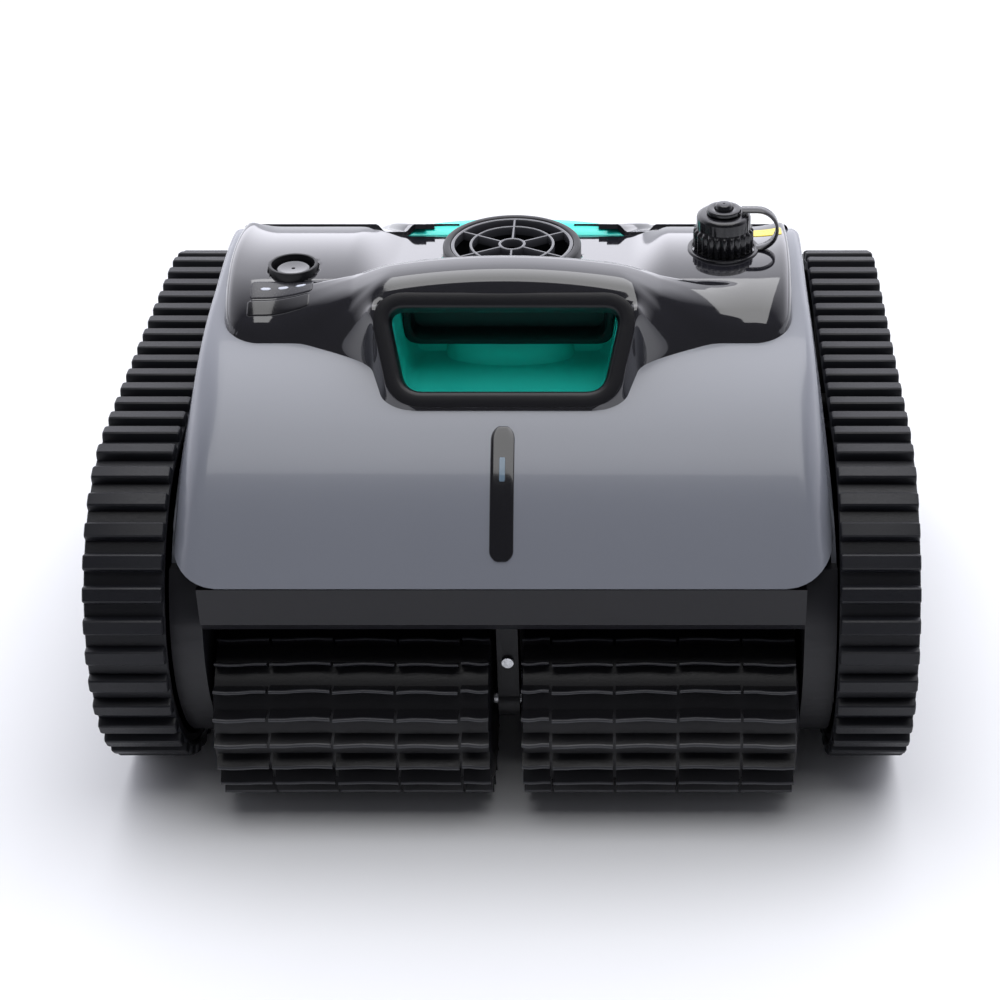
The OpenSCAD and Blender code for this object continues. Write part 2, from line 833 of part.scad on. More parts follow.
module filter_basket() {
    color([0.75, 0.78, 0.8]) from_axle() difference() {
        union() {
            difference() {
                basket_walls(basket_t);
                basket_windows(0);
            }
            for (side = [-1, 1]) {
                inlet_hole(side, 1.5, floor_z + wall + 0.2, basket_z0 + 1);
                flap_ear(side, -1);
                flap_ear(side, 1);
            }
        }
        for (side = [-1, 1]) {
            inlet_hole(side, 0, floor_z, basket_z0 + basket_t + 1);
            rod_x(side, flap_y, flap_z, flap_pin_r + run_gap, 0, deck_hw);
        }
    }
}

module flap_ear(side, end) {
    x = side * inlet_x + end * (inlet_w / 2 + 4.5);
    translate([x - ear_t / 2, flap_y - ear_t, basket_z0 + 1])
        cube([ear_t, 2 * ear_t, flap_z + ear_t - basket_z0 - 1]);
}

// Fine screen panels let into the basket's windows
mesh_inset = 0.6;
module filter_mesh() {
    color([0.9, 0.92, 0.93]) from_axle() intersection() {
        difference() {
            translate([0, mesh_inset, mesh_inset]) basket_walls(basket_t - mesh_inset);
            for (side = [-1, 1])
                beside_x(side, basket_hw - mesh_inset, basket_hw + 1) square(2 * rear_y);
        }
        basket_windows(tiny);
    }
}

module inlet_flap(side) {
    x0 = inlet_x - inlet_w / 2 - 2.5;
    x1 = inlet_x + inlet_w / 2 + 2.5;
    color(satin_black) from_axle() {
        rod_x(side, flap_y, flap_z, flap_r, x0, x1);
        rod_x(side, flap_y, flap_z, flap_pin_r, x0 - 3, x1 + 3);
        beside_x(side, x0, x1) translate([flap_y, flap_z - flap_r + 0.05])
            square([inlet_len + 6, flap_t]);
    }
}

module inlet_flap_left() { inlet_flap(-1); }
module inlet_flap_right() { inlet_flap(1); }

// ---- pump, battery and board ----

module pump_housing() {
    color(satin_black) from_axle() translate([0, pump_y, pump_z0]) difference() {
        cylinder(r = pump_r + pump_t, h = ring_z0 - pump_z0);
        translate([0, 0, pump_t]) cylinder(r = pump_r, h = ring_z0 - pump_z0);
        translate([0, 0, -1]) cylinder(r = pump_inlet_r, h = pump_t + 2);
        for (i = [0 : 3]) rotate(i * 90 + 45) translate([pump_motor_r, -pump_port_w / 2, 12])
            cube([pump_r, pump_port_w, 50]);
    }
}

module pump_motor() {
    color(steel) from_axle() translate([0, pump_y, 0]) difference() {
        translate([0, 0, pump_z0 + pump_t]) cylinder(r = pump_motor_r, h = pump_motor_h);
        translate([0, 0, impeller_z - pump_shaft_len - 2])
            cylinder(r = pump_shaft_r + run_gap, h = 2 * pump_shaft_len);
    }
}

module impeller() {
    blade_lean = 20;
    color(white_plastic) from_axle() translate([0, pump_y, impeller_z]) {
        cylinder(r = impeller_hub_r, h = impeller_h);
        cylinder(r = impeller_r, h = 2);
        translate([0, 0, -pump_shaft_len]) cylinder(r = pump_shaft_r, h = pump_shaft_len + 2);
        for (i = [0 : impeller_blades - 1]) rotate(i * 360 / impeller_blades)
            translate([impeller_hub_r - 2, 0, 1]) rotate(blade_lean)
                cube([impeller_r - impeller_hub_r - 2, 2, impeller_h - 3]);
    }
}

module battery_pack() {
    color([0.15, 0.3, 0.55]) from_axle() translate([-battery_hw, battery_y0, battery_z0])
        cube([2 * battery_hw, battery_len, battery_h]);
}

module control_board() {
    color([0.1, 0.4, 0.2]) from_axle() translate([-port_x - board_w / 2 - 2, board_y0, board_z]) {
        cube([board_w, board_len, board_t]);
        for (c = chips) translate([c[0], c[1], board_t - 0.1]) cube([c[2], c[3], chip_h]);
    }
}

module drive_motor(side) {
    color(steel) from_axle() difference() {
        union() {
            rod_x(side, drive_y, axle_z, motor_r, motor_x0, motor_x1);
            rod_x(side, drive_y, axle_z, motor_r - 4, gear_head_x0, motor_x0 + 1);
        }
        rod_x(side, drive_y, axle_z, pump_shaft_r + run_gap, motor_x1 - pinion_grip - 1, deck_hw);
    }
}

module drive_motor_left() { drive_motor(-1); }
module drive_motor_right() { drive_motor(1); }

// ---- drive train ----

module pinion(side, y, z, angle, shaft_r, shaft_x0) {
    tip_r = pinion_pitch_r + gear_m;
    root_r = pinion_pitch_r - dedendum;
    beside_x(side, gear_x0, gear_x0 + gear_w) translate([y, z])
        polygon(gear_outline(pinion_teeth, root_r, tip_r, -flank_gap, mesh_phase(angle)));
    rod_x(side, y, z, shaft_r, shaft_x0, gear_x0 + gear_w + 1);
}

module drive_pinion(side) {
    color(white_plastic) from_axle()
        pinion(side, drive_y, axle_z, drive_angle, pump_shaft_r, motor_x1 - pinion_grip);
}

module drive_pinion_left() { drive_pinion(-1); }
module drive_pinion_right() { drive_pinion(1); }

module brush_drive(side) {
    color(steel) from_axle()
        pinion(side, brush_y, brush_z, brush_angle, brush_shaft_r, 0.5);
}

module brush_drive_left() { brush_drive(-1); }
module brush_drive_right() { brush_drive(1); }

core_wall = 3.5;
rib_t = 3;
module brush_core(side) {
    color(satin_black) from_axle() beside_x(side, brush_in, brush_out) translate([brush_y, brush_z])
        difference() {
            union() {
                difference() {
                    circle(r = core_r);
                    circle(r = core_r - core_wall);
                }
                circle(r = brush_shaft_r + 4);
                for (i = [0 : 2]) rotate(i * 60) square([2 * core_r - 4, rib_t], center = true);
            }
            circle(r = brush_shaft_r);
        }
}

module brush_core_left() { brush_core(-1); }
module brush_core_right() { brush_core(1); }

// Rubber paddles stand in columns along a roller, with a slit between columns
column_shares = [0, 0.11, 0.34, 0.57, 0.8, 1];
slit = 1.2;

function paddle_outline(lead) =
    [for (i = [0 : paddle_rows - 1]) let (a = (i + lead) * 360 / paddle_rows, w = 360 / paddle_rows)
        each [[a, brush_r - paddle_h], [a + w * 0.42, brush_r - paddle_h],
            [a + w * 0.55, brush_r], [a + w * 0.8, brush_r]]];

module brush_sleeve(side) {
    length = brush_out - brush_in;
    color(rubber_black) from_axle() difference() {
        union() {
            for (k = [0 : len(column_shares) - 2])
                beside_x(side, brush_in + column_shares[k] * length,
                    brush_in + column_shares[k + 1] * length - slit)
                    translate([brush_y, brush_z])
                        polygon([for (p = paddle_outline(0)) p[1] * [cos(p[0]), sin(p[0])]]);
            rod_x(side, brush_y, brush_z, brush_r - paddle_h - 2, brush_in, brush_out - slit);
        }
        rod_x(side, brush_y, brush_z, core_r, 0, track_out);
    }
}

module brush_sleeve_left() { brush_sleeve(-1); }
module brush_sleeve_right() { brush_sleeve(1); }

module brush_bushes() {
    color([0.8, 0.62, 0.35]) from_axle() for (side = [-1, 1])
        beside_x(side, deck_hw, body_hw + 0.6) translate([brush_y, brush_z]) difference() {
            circle(r = brush_shaft_r + bush_wall);
            circle(r = brush_shaft_r + run_gap);
        }
}

bracket_d = 16;
bracket_h = 62;
bracket_screw_z = brush_z + 28;
bracket_screw_r = 1.5;
bracket_screw_len = 7.5;

module brush_bracket() {
    color(satin_black) from_axle() difference() {
        along_x(-bracket_w / 2, bracket_w / 2) difference() {
            union() {
                translate([brush_y, brush_z]) circle(r = brush_shaft_r + 6);
                translate([brush_y - bracket_d / 2, brush_z]) square([bracket_d, bracket_h]);
            }
            tub_outline();
        }
        rod_x(1, brush_y, brush_z, brush_shaft_r + run_gap, -bracket_w, bracket_w);
        translate([0, brush_y - bracket_d / 2 - 1, bracket_screw_z]) rotate([-90, 0, 0])
            cylinder(r = bracket_screw_r, h = bracket_screw_len + 1.5);
    }
}

module case_screws() {
    color(steel) from_axle() {
        each_case_screw() {
            cylinder(r = screw_head_r, h = screw_head_h);
            cylinder(r = screw_r, h = screw_len);
        }
        translate([0, brush_y - bracket_d / 2, bracket_screw_z]) rotate([-90, 0, 0]) {
            cylinder(r = bracket_screw_r, h = bracket_screw_len);
            translate([0, 0, -2]) cylinder(r = 2 * bracket_screw_r, h = 2);
        }
    }
}

module track_belt(side) {
    arc = PI * belt_out;
    color(rubber_black) from_axle() {
        beside_x(side, belt_x0, track_out) difference() {
            stadium(belt_out);
            stadium(belt_in);
        }
        for (i = [0 : cleat_count - 1])
            let (s = i * loop_len / cleat_count,
                 u = s < wheelbase ? s : s < wheelbase + arc ? wheelbase
                     : s < 2 * wheelbase + arc ? 2 * wheelbase + arc - s : 0,
                 turn = s < wheelbase ? 0 : s < wheelbase + arc ? (s - wheelbase) / arc * 180
                     : s < 2 * wheelbase + arc ? 180 : 180 + (s - 2 * wheelbase - arc) / arc * 180)
            translate([0, u, axle_z]) rotate([-turn, 0, 0])
                translate([side > 0 ? belt_x0 : -track_out, -cleat_len / 2, belt_out - cleat_sink])
                    cube([track_out - belt_x0, cleat_len, cleat_h + cleat_sink]);
    }
}

module track_belt_left() { track_belt(-1); }
module track_belt_right() { track_belt(1); }

// Rim, web, hub and outer spokes, turned about the axle; front wheels add teeth
module wheel(side, y, geared) {
    rim_in = ring_pitch_r + dedendum;
    outer_x = track_out - 1;
    translate([0, y, axle_z]) difference() {
        union() {
            beside_x(side, body_hw + pod_gap, outer_x) difference() {
                circle(r = wheel_r);
                circle(r = rim_in);
            }
            beside_x(side, web_x0, web_x0 + web_t) circle(r = rim_in + 0.5);
            beside_x(side, body_hw + pod_gap, hub_cap_x) circle(r = hub_r);
            beside_x(side, web_x0 + web_t, hub_cap_x - 1) for (i = [0 : spoke_count - 1])
                rotate(i * 360 / spoke_count) translate([hub_r - 2, -spoke_w / 2])
                    square([rim_in - hub_r + 3, spoke_w]);
            if (geared)
                beside_x(side, gear_x0, web_x0) difference() {
                    circle(r = rim_in + 0.5);
                    polygon(gear_outline(ring_teeth, ring_pitch_r - gear_m, rim_in - 0.2,
                        flank_gap, brush_angle));
                }
        }
        beside_x(side, body_hw, track_out) circle(r = axle_r + run_gap);
    }
}

module front_wheel(side) {
    color(satin_black) from_axle() wheel(side, 0, true);
}

module rear_wheel(side) {
    color(satin_black) from_axle() wheel(side, wheelbase, false);
}

module front_wheel_left() { front_wheel(-1); }
module front_wheel_right() { front_wheel(1); }
module rear_wheel_left() { rear_wheel(-1); }
module rear_wheel_right() { rear_wheel(1); }

module hub_cap(side, y) {
    color(shell_grey) from_axle() translate([0, y, axle_z]) {
        beside_x(side, hub_cap_x, hub_cap_x + 3) circle(r = hub_cap_r);
        beside_x(side, hub_cap_x + 3, hub_cap_x + 4.5) circle(r = hub_cap_r - 4);
    }
}

module front_hub_cap_left() { hub_cap(-1, 0); }
module front_hub_cap_right() { hub_cap(1, 0); }
module rear_hub_cap_left() { hub_cap(-1, wheelbase); }
module rear_hub_cap_right() { hub_cap(1, wheelbase); }

module wheel_axles() {
    color(steel) from_axle() for (side = [-1, 1], y = [0, wheelbase])
        rod_x(side, y, axle_z, axle_r, deck_hw + 1, hub_cap_x - 0.5);
}

// Fixed cover that fills the track loop between its two wheels
cover_plate_x = track_out - 12;
post_drop = 52;
post_r = 7;
cover_screw_r = 2;
cover_plate_t = 4;
module side_cover(side) {
    color(satin_black) from_axle() difference() {
        union() {
            beside_x(side, cover_plate_x, cover_plate_x + cover_plate_t) difference() {
                translate([0, axle_z - belt_in + 3]) square([wheelbase, 2 * belt_in - 6]);
                for (y = [0, wheelbase]) translate([y, axle_z]) circle(r = wheel_r + 2.5);
            }
            for (dz = [-post_drop, post_drop])
                rod_x(side, wheelbase / 2, axle_z + dz, post_r, body_hw, cover_plate_x + 1);
        }
        for (dz = [-post_drop, post_drop])
            rod_x(side, wheelbase / 2, axle_z + dz, cover_screw_r, body_hw - 1, track_out);
    }
}

module side_cover_left() { side_cover(-1); }
module side_cover_right() { side_cover(1); }

module side_cover_screws() {
    plate_out = cover_plate_x + cover_plate_t;
    color(steel) from_axle() for (side = [-1, 1], dz = [-post_drop, post_drop]) {
        rod_x(side, wheelbase / 2, axle_z + dz, cover_screw_r, body_hw, plate_out + 1);
        rod_x(side, wheelbase / 2, axle_z + dz, 2 * cover_screw_r, plate_out, plate_out + 2);
    }
}

chassis_tub();
front_shell();
top_deck();
handle_cup();
grip_liner();
outlet_ring();
outlet_grille();
status_window();
status_light();
control_label();
power_button();
power_spring();
charge_port();
charge_pins();
cap_ring();
charge_cap();
cap_strap();
warning_label();
rear_louvres();
hex_button();
rear_cover();
cover_pull();
hinge_pins();
filter_basket();
filter_mesh();
inlet_flap_left();
inlet_flap_right();
pump_housing();
pump_motor();
impeller();
battery_pack();
control_board();
drive_motor_left();
drive_motor_right();
drive_pinion_left();
drive_pinion_right();
track_belt_left();
track_belt_right();
front_wheel_left();
front_wheel_right();
rear_wheel_left();
rear_wheel_right();
front_hub_cap_left();
front_hub_cap_right();
rear_hub_cap_left();
rear_hub_cap_right();
wheel_axles();
side_cover_left();
side_cover_right();
side_cover_screws();
brush_bushes();
brush_drive_left();
brush_drive_right();
brush_core_left();
brush_core_right();
brush_sleeve_left();
brush_sleeve_right();
brush_bracket();
case_screws();
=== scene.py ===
import json
import math

import bmesh
import bpy
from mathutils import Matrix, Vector

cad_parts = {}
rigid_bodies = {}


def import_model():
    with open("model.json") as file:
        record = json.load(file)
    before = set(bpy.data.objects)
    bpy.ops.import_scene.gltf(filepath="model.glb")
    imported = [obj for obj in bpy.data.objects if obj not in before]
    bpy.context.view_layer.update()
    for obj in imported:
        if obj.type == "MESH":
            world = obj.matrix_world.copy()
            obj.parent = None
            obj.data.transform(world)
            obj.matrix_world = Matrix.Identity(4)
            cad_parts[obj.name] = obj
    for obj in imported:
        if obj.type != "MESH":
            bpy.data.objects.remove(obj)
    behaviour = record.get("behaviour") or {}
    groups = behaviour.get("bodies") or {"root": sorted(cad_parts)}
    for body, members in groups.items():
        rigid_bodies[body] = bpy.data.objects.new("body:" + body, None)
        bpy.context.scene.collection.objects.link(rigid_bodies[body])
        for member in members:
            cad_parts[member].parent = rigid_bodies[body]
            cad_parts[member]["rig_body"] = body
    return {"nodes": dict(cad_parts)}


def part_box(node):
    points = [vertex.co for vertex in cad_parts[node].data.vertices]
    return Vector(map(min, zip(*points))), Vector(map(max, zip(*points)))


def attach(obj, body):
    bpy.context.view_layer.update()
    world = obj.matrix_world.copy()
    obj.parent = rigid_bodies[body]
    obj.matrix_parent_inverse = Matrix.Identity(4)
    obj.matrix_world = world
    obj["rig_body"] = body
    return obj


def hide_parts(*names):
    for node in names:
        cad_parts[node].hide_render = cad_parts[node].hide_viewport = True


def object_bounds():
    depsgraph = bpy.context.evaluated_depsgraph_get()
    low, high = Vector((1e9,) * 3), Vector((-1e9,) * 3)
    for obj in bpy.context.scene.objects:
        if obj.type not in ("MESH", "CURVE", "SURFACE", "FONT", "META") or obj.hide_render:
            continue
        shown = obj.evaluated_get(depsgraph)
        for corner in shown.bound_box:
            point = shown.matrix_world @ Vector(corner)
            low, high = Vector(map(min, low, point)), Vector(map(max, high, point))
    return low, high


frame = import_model()
CAD_LOW, CAD_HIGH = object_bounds()

# ---- sizes, all worked out from the frame ----
# Shapes are drawn in millimetres, with y measured behind the front axle and z above the ground.
MM = 0.001


def node_box(node):
    """A CAD node's box in the drawing's own units: (x0, x1, y0, y1, z0, z1)."""
    low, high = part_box(node)
    return (low.x / MM, high.x / MM, (low.y - AXLE_Y) / MM, (high.y - AXLE_Y) / MM,
            low.z / MM, high.z / MM)


wheel_low, wheel_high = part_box("front_wheel_right")
AXLE_Y = (wheel_low.y + wheel_high.y) / 2
AXLE_Z = (wheel_low.z + wheel_high.z) / 2 / MM
WHEELBASE = (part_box("rear_wheel_right")[0].y - wheel_low.y) / MM

DECK = node_box("top_deck")
SHELL = node_box("front_shell")
COVER = node_box("rear_cover")
RING = node_box("outlet_ring")
GRILLE = node_box("outlet_grille")
BELT = node_box("track_belt_right")
SLEEVE = node_box("brush_sleeve_right")
CUP = node_box("handle_cup")
PORT = node_box("charge_port")
CAP = node_box("charge_cap")
BUTTON = node_box("power_button")
PULL = node_box("cover_pull")

GREY_BAND = 3  # width of the shell left showing on each side of the deck's skin
BODY_HW = SHELL[1]
DECK_HW = DECK[1] - GREY_BAND
COVER_HW = COVER[1]
NOSE_Y = SHELL[2]
REAR_Y = SHELL[3]
DECK_REAR = DECK[3]
OUTLET = ((RING[0] + RING[1]) / 2, (RING[2] + RING[3]) / 2)
RING_R = (RING[1] - RING[0]) / 2
PORT_AT = ((PORT[0] + PORT[1]) / 2, (PORT[2] + PORT[3]) / 2)
BUTTON_AT = ((BUTTON[0] + BUTTON[1]) / 2, (BUTTON[2] + BUTTON[3]) / 2)

SEAM_FRONT_Z = 142  # the seam under the shell's flanks, at the nose
SEAM_REAR_Z = 97  # and at the rear
SHOULDER_Z, SHOULDER_RISE, SHOULDER_LEAN = 138, 93, 10  # where the flanks start to lean in
FOOT_CORNER_R, TOP_CORNER_R = 20, 5  # rounding from face to flank, at the nose's foot and top
DECK_EDGE, DECK_TAIL = 5.0, 2.0  # rounding of the deck's sides and of its rear edge
COVER_EDGE = 3  # rounding of the rear cover's sides
WALL = 2.6  # thickness of the shell's and the cover's skins


# ---- curves ----
def cubic(p0, p1, p2, p3, n):
    """Points on a cubic curve from p0 to p3, pulled towards p1 and p2."""
    points = []
    for i in range(n + 1):
        t = i / n
        u = 1 - t
        k = (u ** 3, 3 * u * u * t, 3 * u * t * t, t ** 3)
        points.append(tuple(sum(w * p[c] for w, p in zip(k, (p0, p1, p2, p3))) for c in (0, 1)))
    return points


def height_on(line, y):
    """The z of a line of (y, z) points at y; the line runs from front to back."""
    if y <= line[0][0]:
        return line[0][1]
    for a, b in zip(line, line[1:]):
        if y <= b[0]:
            return a[1] + (b[1] - a[1]) * (y - a[0]) / max(b[0] - a[0], 1e-9)
    return line[-1][1]


def ease(a, b, x):
    """0 before a, 1 after b, and smooth between them; a may be the larger."""
    t = min(1.0, max(0.0, (x - a) / (b - a)))
    return t * t * (3 - 2 * t)


def mix(a, b, t):
    """The value at share t of the way from a to b."""
    return a + (b - a) * t


def roll(over, radius):
    """How far a rounded edge has dropped at the distance over past the start of its rounding."""
    over = min(max(0.0, over), radius)
    return radius - math.sqrt(radius * radius - over * over)


def normal_at(line, i):
    """Unit direction square to a line at its point i, on its right-hand side, which is inwards."""
    a = line[max(i - 1, 0)]
    b = line[min(i + 1, len(line) - 1)]
    d = math.hypot(b[0] - a[0], b[1] - a[1])
    return ((b[1] - a[1]) / d, -(b[0] - a[0]) / d)


def spaced(a, b, n):
    """n + 1 values at equal steps from a to b."""
    return [a + (b - a) * i / n for i in range(n + 1)]


def quarter(n):
    """n + 1 angles from 0 to a right angle."""
    return [math.pi / 2 * k / n for k in range(n + 1)]


def circle(n):
    """n angles at equal steps once round."""
    return spaced(0, 2 * math.pi * (n - 1) / n, n - 1)


# Side lines of the body as (y, z) points, all running from front to back.
NOSE = cubic((NOSE_Y, SEAM_FRONT_Z), (-52, 182), (-30, 215), (54, 229), 44)
WING = cubic((20, 224.5), (36, 247), (66, 257), (DECK_REAR, 236), 60)
PLATE = [(50, 244), (DECK_REAR, 230.5)]
COVER_LINE = cubic((DECK_REAR + 2.4, 236), (190, 212), (270, 178), (REAR_Y, SEAM_REAR_Z + 3), 60)
SHELL_TOP = cubic((54, 229), (78, 232), (112, 236), (DECK_REAR + 2.4, 233), 14)
SHELL_REAR = [(y, z - 3) for y, z in COVER_LINE]


# ---- meshes ----
def to_frame(p):
    """A point of the drawing in the frame's metres."""
    return (p[0] * MM, p[1] * MM + AXLE_Y, p[2] * MM)


def sharpen(mesh, degrees):
    """Smooth shading with sharp edges where faces meet at more than degrees."""
    mesh.shade_smooth()
    mesh.set_sharp_from_angle(angle=math.radians(degrees))


def new_piece(name, points, faces, material, body, smooth=40, facing=None):
    """A mesh piece from points in the drawing's units, riding on a body.

    An open skin's outer side looks along facing; a closed piece needs none.
    """
    mesh = bpy.data.meshes.new(name)
    mesh.from_pydata([to_frame(p) for p in points], [], faces)
    mesh.validate()
    bm = bmesh.new()
    bm.from_mesh(mesh)
    bmesh.ops.remove_doubles(bm, verts=bm.verts, dist=0.01 * MM)
    bmesh.ops.recalc_face_normals(bm, faces=bm.faces)
    if facing and sum(f.normal.dot(Vector(facing)) * f.calc_area() for f in bm.faces) < 0:
        bmesh.ops.reverse_faces(bm, faces=bm.faces)
    bm.to_mesh(mesh)
    bm.free()
    sharpen(mesh, smooth)
    obj = bpy.data.objects.new(name, mesh)
    bpy.context.scene.collection.objects.link(obj)
    mesh.materials.append(material)
    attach(obj, body)
    return obj


def grid_faces(rows, cols, keep=None, wrap=False, start=0):
    """Quads over a grid of points stored row by row."""
    faces = []
    for i in range(rows - 1):
        for j in range(cols if wrap else cols - 1):
            if keep is None or keep(i, j):
                k = (j + 1) % cols
                faces.append((start + i * cols + j, start + i * cols + k,
                              start + (i + 1) * cols + k, start + (i + 1) * cols + j))
    return faces


def thicken(obj, depth, offset=-1):
    """Gives an open skin a wall, inwards unless offset is 1."""
    solid = obj.modifiers.new("wall", "SOLIDIFY")
    solid.thickness = depth * MM
    solid.offset = offset
    solid.use_quality_normals = True


def round_edges(obj, width, segments=2, degrees=35):
    """Rounds the edges at which faces meet at more than degrees."""
    bevel = obj.modifiers.new("edges", "BEVEL")
    bevel.width = width * MM
    bevel.segments = segments
    bevel.limit_method = "ANGLE"
    bevel.angle_limit = math.radians(degrees)
    bevel.harden_normals = True


def loft(name, rings, material, body, closed_ends=True, smooth=40):
    """A closed tube through rings of points, each ring with the same number of points."""
    cols = len(rings[0])
    points = [p for ring in rings for p in ring]
    faces = grid_faces(len(rings), cols, wrap=True)
    if closed_ends:
        faces.append(tuple(range(cols))[::-1])
        faces.append(tuple(range((len(rings) - 1) * cols, len(rings) * cols)))
    return new_piece(name, points, faces, material, body, smooth)


def turned(name, centre, profile, material, body, steps=72, radius=None, smooth=40):
    """A shape turned about a vertical line through centre.

    profile is a list of (r, z) points; radius(angle, r, z), if given, returns the radius to use.
    """
    points = []
    for r, z in profile:
        for k in range(steps):
            a = 2 * math.pi * k / steps
            q = radius(a, r, z) if radius else r
            points.append((centre[0] + q * math.cos(a), centre[1] + q * math.sin(a), z))
    faces = grid_faces(len(profile), steps, wrap=True)
    if profile[0] != profile[-1]:
        faces.append(tuple(range(steps)))
        faces.append(tuple(range((len(profile) - 1) * steps, len(profile) * steps)))
    return new_piece(name, points, faces, material, body, smooth)


def rounded(points, radius, steps=6):
    """A closed outline with its corners rounded by arcs that start radius away from the corner."""
    out = []
    n = len(points)
    for i in range(n):
        c = Vector(points[i])
        a = c + (Vector(points[i - 1]) - c).normalized() * radius
        b = c + (Vector(points[(i + 1) % n]) - c).normalized() * radius
        for k in range(steps + 1):
            t = k / steps
            out.append(tuple((1 - t) ** 2 * a + 2 * t * (1 - t) * c + t * t * b))
    return out


def soften(node, width, segments, material):
    """A CAD node's own shape with its flat faces joined and its edges rounded."""
    source = frame["nodes"][node]
    mesh = source.data.copy()
    bm = bmesh.new()
    bm.from_mesh(mesh)
    bmesh.ops.remove_doubles(bm, verts=bm.verts, dist=0.005 * MM)
    bmesh.ops.dissolve_limit(bm, angle_limit=math.radians(0.6), verts=bm.verts, edges=bm.edges)
    bm.to_mesh(mesh)
    bm.free()
    mesh.materials.clear()
    obj = bpy.data.objects.new(node + "_finished", mesh)
    bpy.context.scene.collection.objects.link(obj)
    mesh.materials.append(material)
    sharpen(mesh, 32)
    round_edges(obj, width, segments)
    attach(obj, source["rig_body"])
    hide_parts(node)


# ---- materials ----
def new_material(name):
    """A fresh material with its node tree and its shader."""
    mat = bpy.data.materials.new(name)
    mat.use_nodes = True
    return mat, mat.node_tree, mat.node_tree.nodes["Principled BSDF"]


def add_noise(tree, scale, detail, coordinates):
    """A noise texture laid out in the object's own coordinates."""
    noise = tree.nodes.new("ShaderNodeTexNoise")
    noise.inputs["Scale"].default_value = scale
    noise.inputs["Detail"].default_value = detail
    tree.links.new(coordinates.outputs["Object"], noise.inputs["Vector"])
    return noise


def add_range(tree, source, low, high, a=0.3, b=0.7):
    """A node that turns source's values from a to b into values from low to high."""
    ramp = tree.nodes.new("ShaderNodeMapRange")
    ramp.inputs["From Min"].default_value = a
    ramp.inputs["From Max"].default_value = b
    ramp.inputs["To Min"].default_value = low
    ramp.inputs["To Max"].default_value = high
    tree.links.new(source, ramp.inputs["Value"])
    return ramp


def plastic(name, colour, rough, grain=900, bump=0.02, vary=0.1, spread=0.05, coat=0.0,
            specular=0.5, dust=0.0, metallic=0.0):
    """Moulded plastic, rubber or metal: slight cloudy colour, uneven gloss and a fine grain."""
    mat, tree, shader = new_material(name)
    where = tree.nodes.new("ShaderNodeTexCoord")
    cloud = add_noise(tree, 14, 4, where)
    fine = add_noise(tree, grain, 3, where)
    blend = tree.nodes.new("ShaderNodeMix")
    blend.data_type = "RGBA"
    dark = [c * (1 - vary) for c in colour]
    light = [min(1, c * (1 + vary) + dust) for c in colour]
    blend.inputs["A"].default_value = (*dark, 1)
    blend.inputs["B"].default_value = (*light, 1)
    tree.links.new(cloud.outputs["Fac"], blend.inputs["Factor"])
    tree.links.new(blend.outputs["Result"], shader.inputs["Base Color"])
    gloss = add_range(tree, fine.outputs["Fac"], max(0.02, rough - spread), rough + spread)
    tree.links.new(gloss.outputs["Result"], shader.inputs["Roughness"])
    relief = tree.nodes.new("ShaderNodeBump")
    relief.inputs["Strength"].default_value = bump
    relief.inputs["Distance"].default_value = 0.0004
    tree.links.new(fine.outputs["Fac"], relief.inputs["Height"])
    tree.links.new(relief.outputs["Normal"], shader.inputs["Normal"])
    shader.inputs["Specular IOR Level"].default_value = specular
    shader.inputs["Metallic"].default_value = metallic
    shader.inputs["Coat Weight"].default_value = coat
    shader.inputs["Coat Roughness"].default_value = 0.04
    return mat


SHELL_GREY = plastic("shell_grey", (0.180, 0.191, 0.222), 0.26, 500, 0.004, 0.02, 0.012, coat=0.3)
GLOSS_BLACK = plastic("gloss_black", (0.012, 0.012, 0.016), 0.07, 500, 0.008, 0.1, 0.03, 0.6, 0.7)
FRAME_BLACK = plastic("frame_black", (0.009, 0.009, 0.011), 0.34, 1600, 0.05, 0.1, 0.05, 0, 0.3)
SATIN_BLACK = plastic("satin_black", (0.009, 0.009, 0.012), 0.42, 1800, 0.10, 0.15, 0.07, 0, 0.35)
RUBBER = plastic("track_rubber", (0.0055, 0.006, 0.009), 0.47, 1300, 0.16, 0.25, 0.09, 0, 0.32, 0.001)
BRUSH_RUBBER = plastic("brush_rubber", (0.007, 0.007, 0.009), 0.40, 1100, 0.12, 0.2, 0.08, 0, 0.35)
CAP_RUBBER = plastic("cap_rubber", (0.006, 0.006, 0.008), 0.22, 900, 0.05, 0.15, 0.06, 0.2, 0.5)
TEAL = plastic("teal_gloss", (0.035, 0.800, 0.690), 0.22, 700, 0.012, 0.04, 0.05, 0.3, 0.4)
STEEL = plastic("brushed_steel", (0.60, 0.61, 0.63), 0.28, 600, 0.04, 0.05, 0.08, 0, 0.5, 0, 1)
BRASS = plastic("brass", (0.75, 0.56, 0.24), 0.25, 600, 0.04, 0.06, 0.07, 0, 0.5, 0, 1)
GRILLE_BLACK = plastic("grille_black", (0.055, 0.056, 0.065), 0.20, 900, 0.03, 0.1, 0.05, 0.5, 0.6)
WHITE = plastic("white_plastic", (0.72, 0.73, 0.74), 0.35, 900, 0.03, 0.04)
CLEAR = plastic("basket_plastic", (0.45, 0.50, 0.53), 0.28, 800, 0.03, 0.06)
SCREEN = plastic("fine_screen", (0.75, 0.77, 0.78), 0.55, 4000, 0.5, 0.2)
BATTERY = plastic("battery_wrap", (0.03, 0.09, 0.26), 0.35, 700, 0.04, 0.08)
BOARD = plastic("board_green", (0.015, 0.12, 0.04), 0.4, 1500, 0.15, 0.25)
LABEL_DARK = plastic("label_dark", (0.030, 0.030, 0.036), 0.25, 900, 0.02, 0.1)
LABEL_YELLOW = plastic("label_yellow", (0.85, 0.66, 0.02), 0.33, 900, 0.02, 0.05)
MARK = plastic("printed_mark", (0.62, 0.65, 0.74), 0.4, 900, 0.02, 0.03)
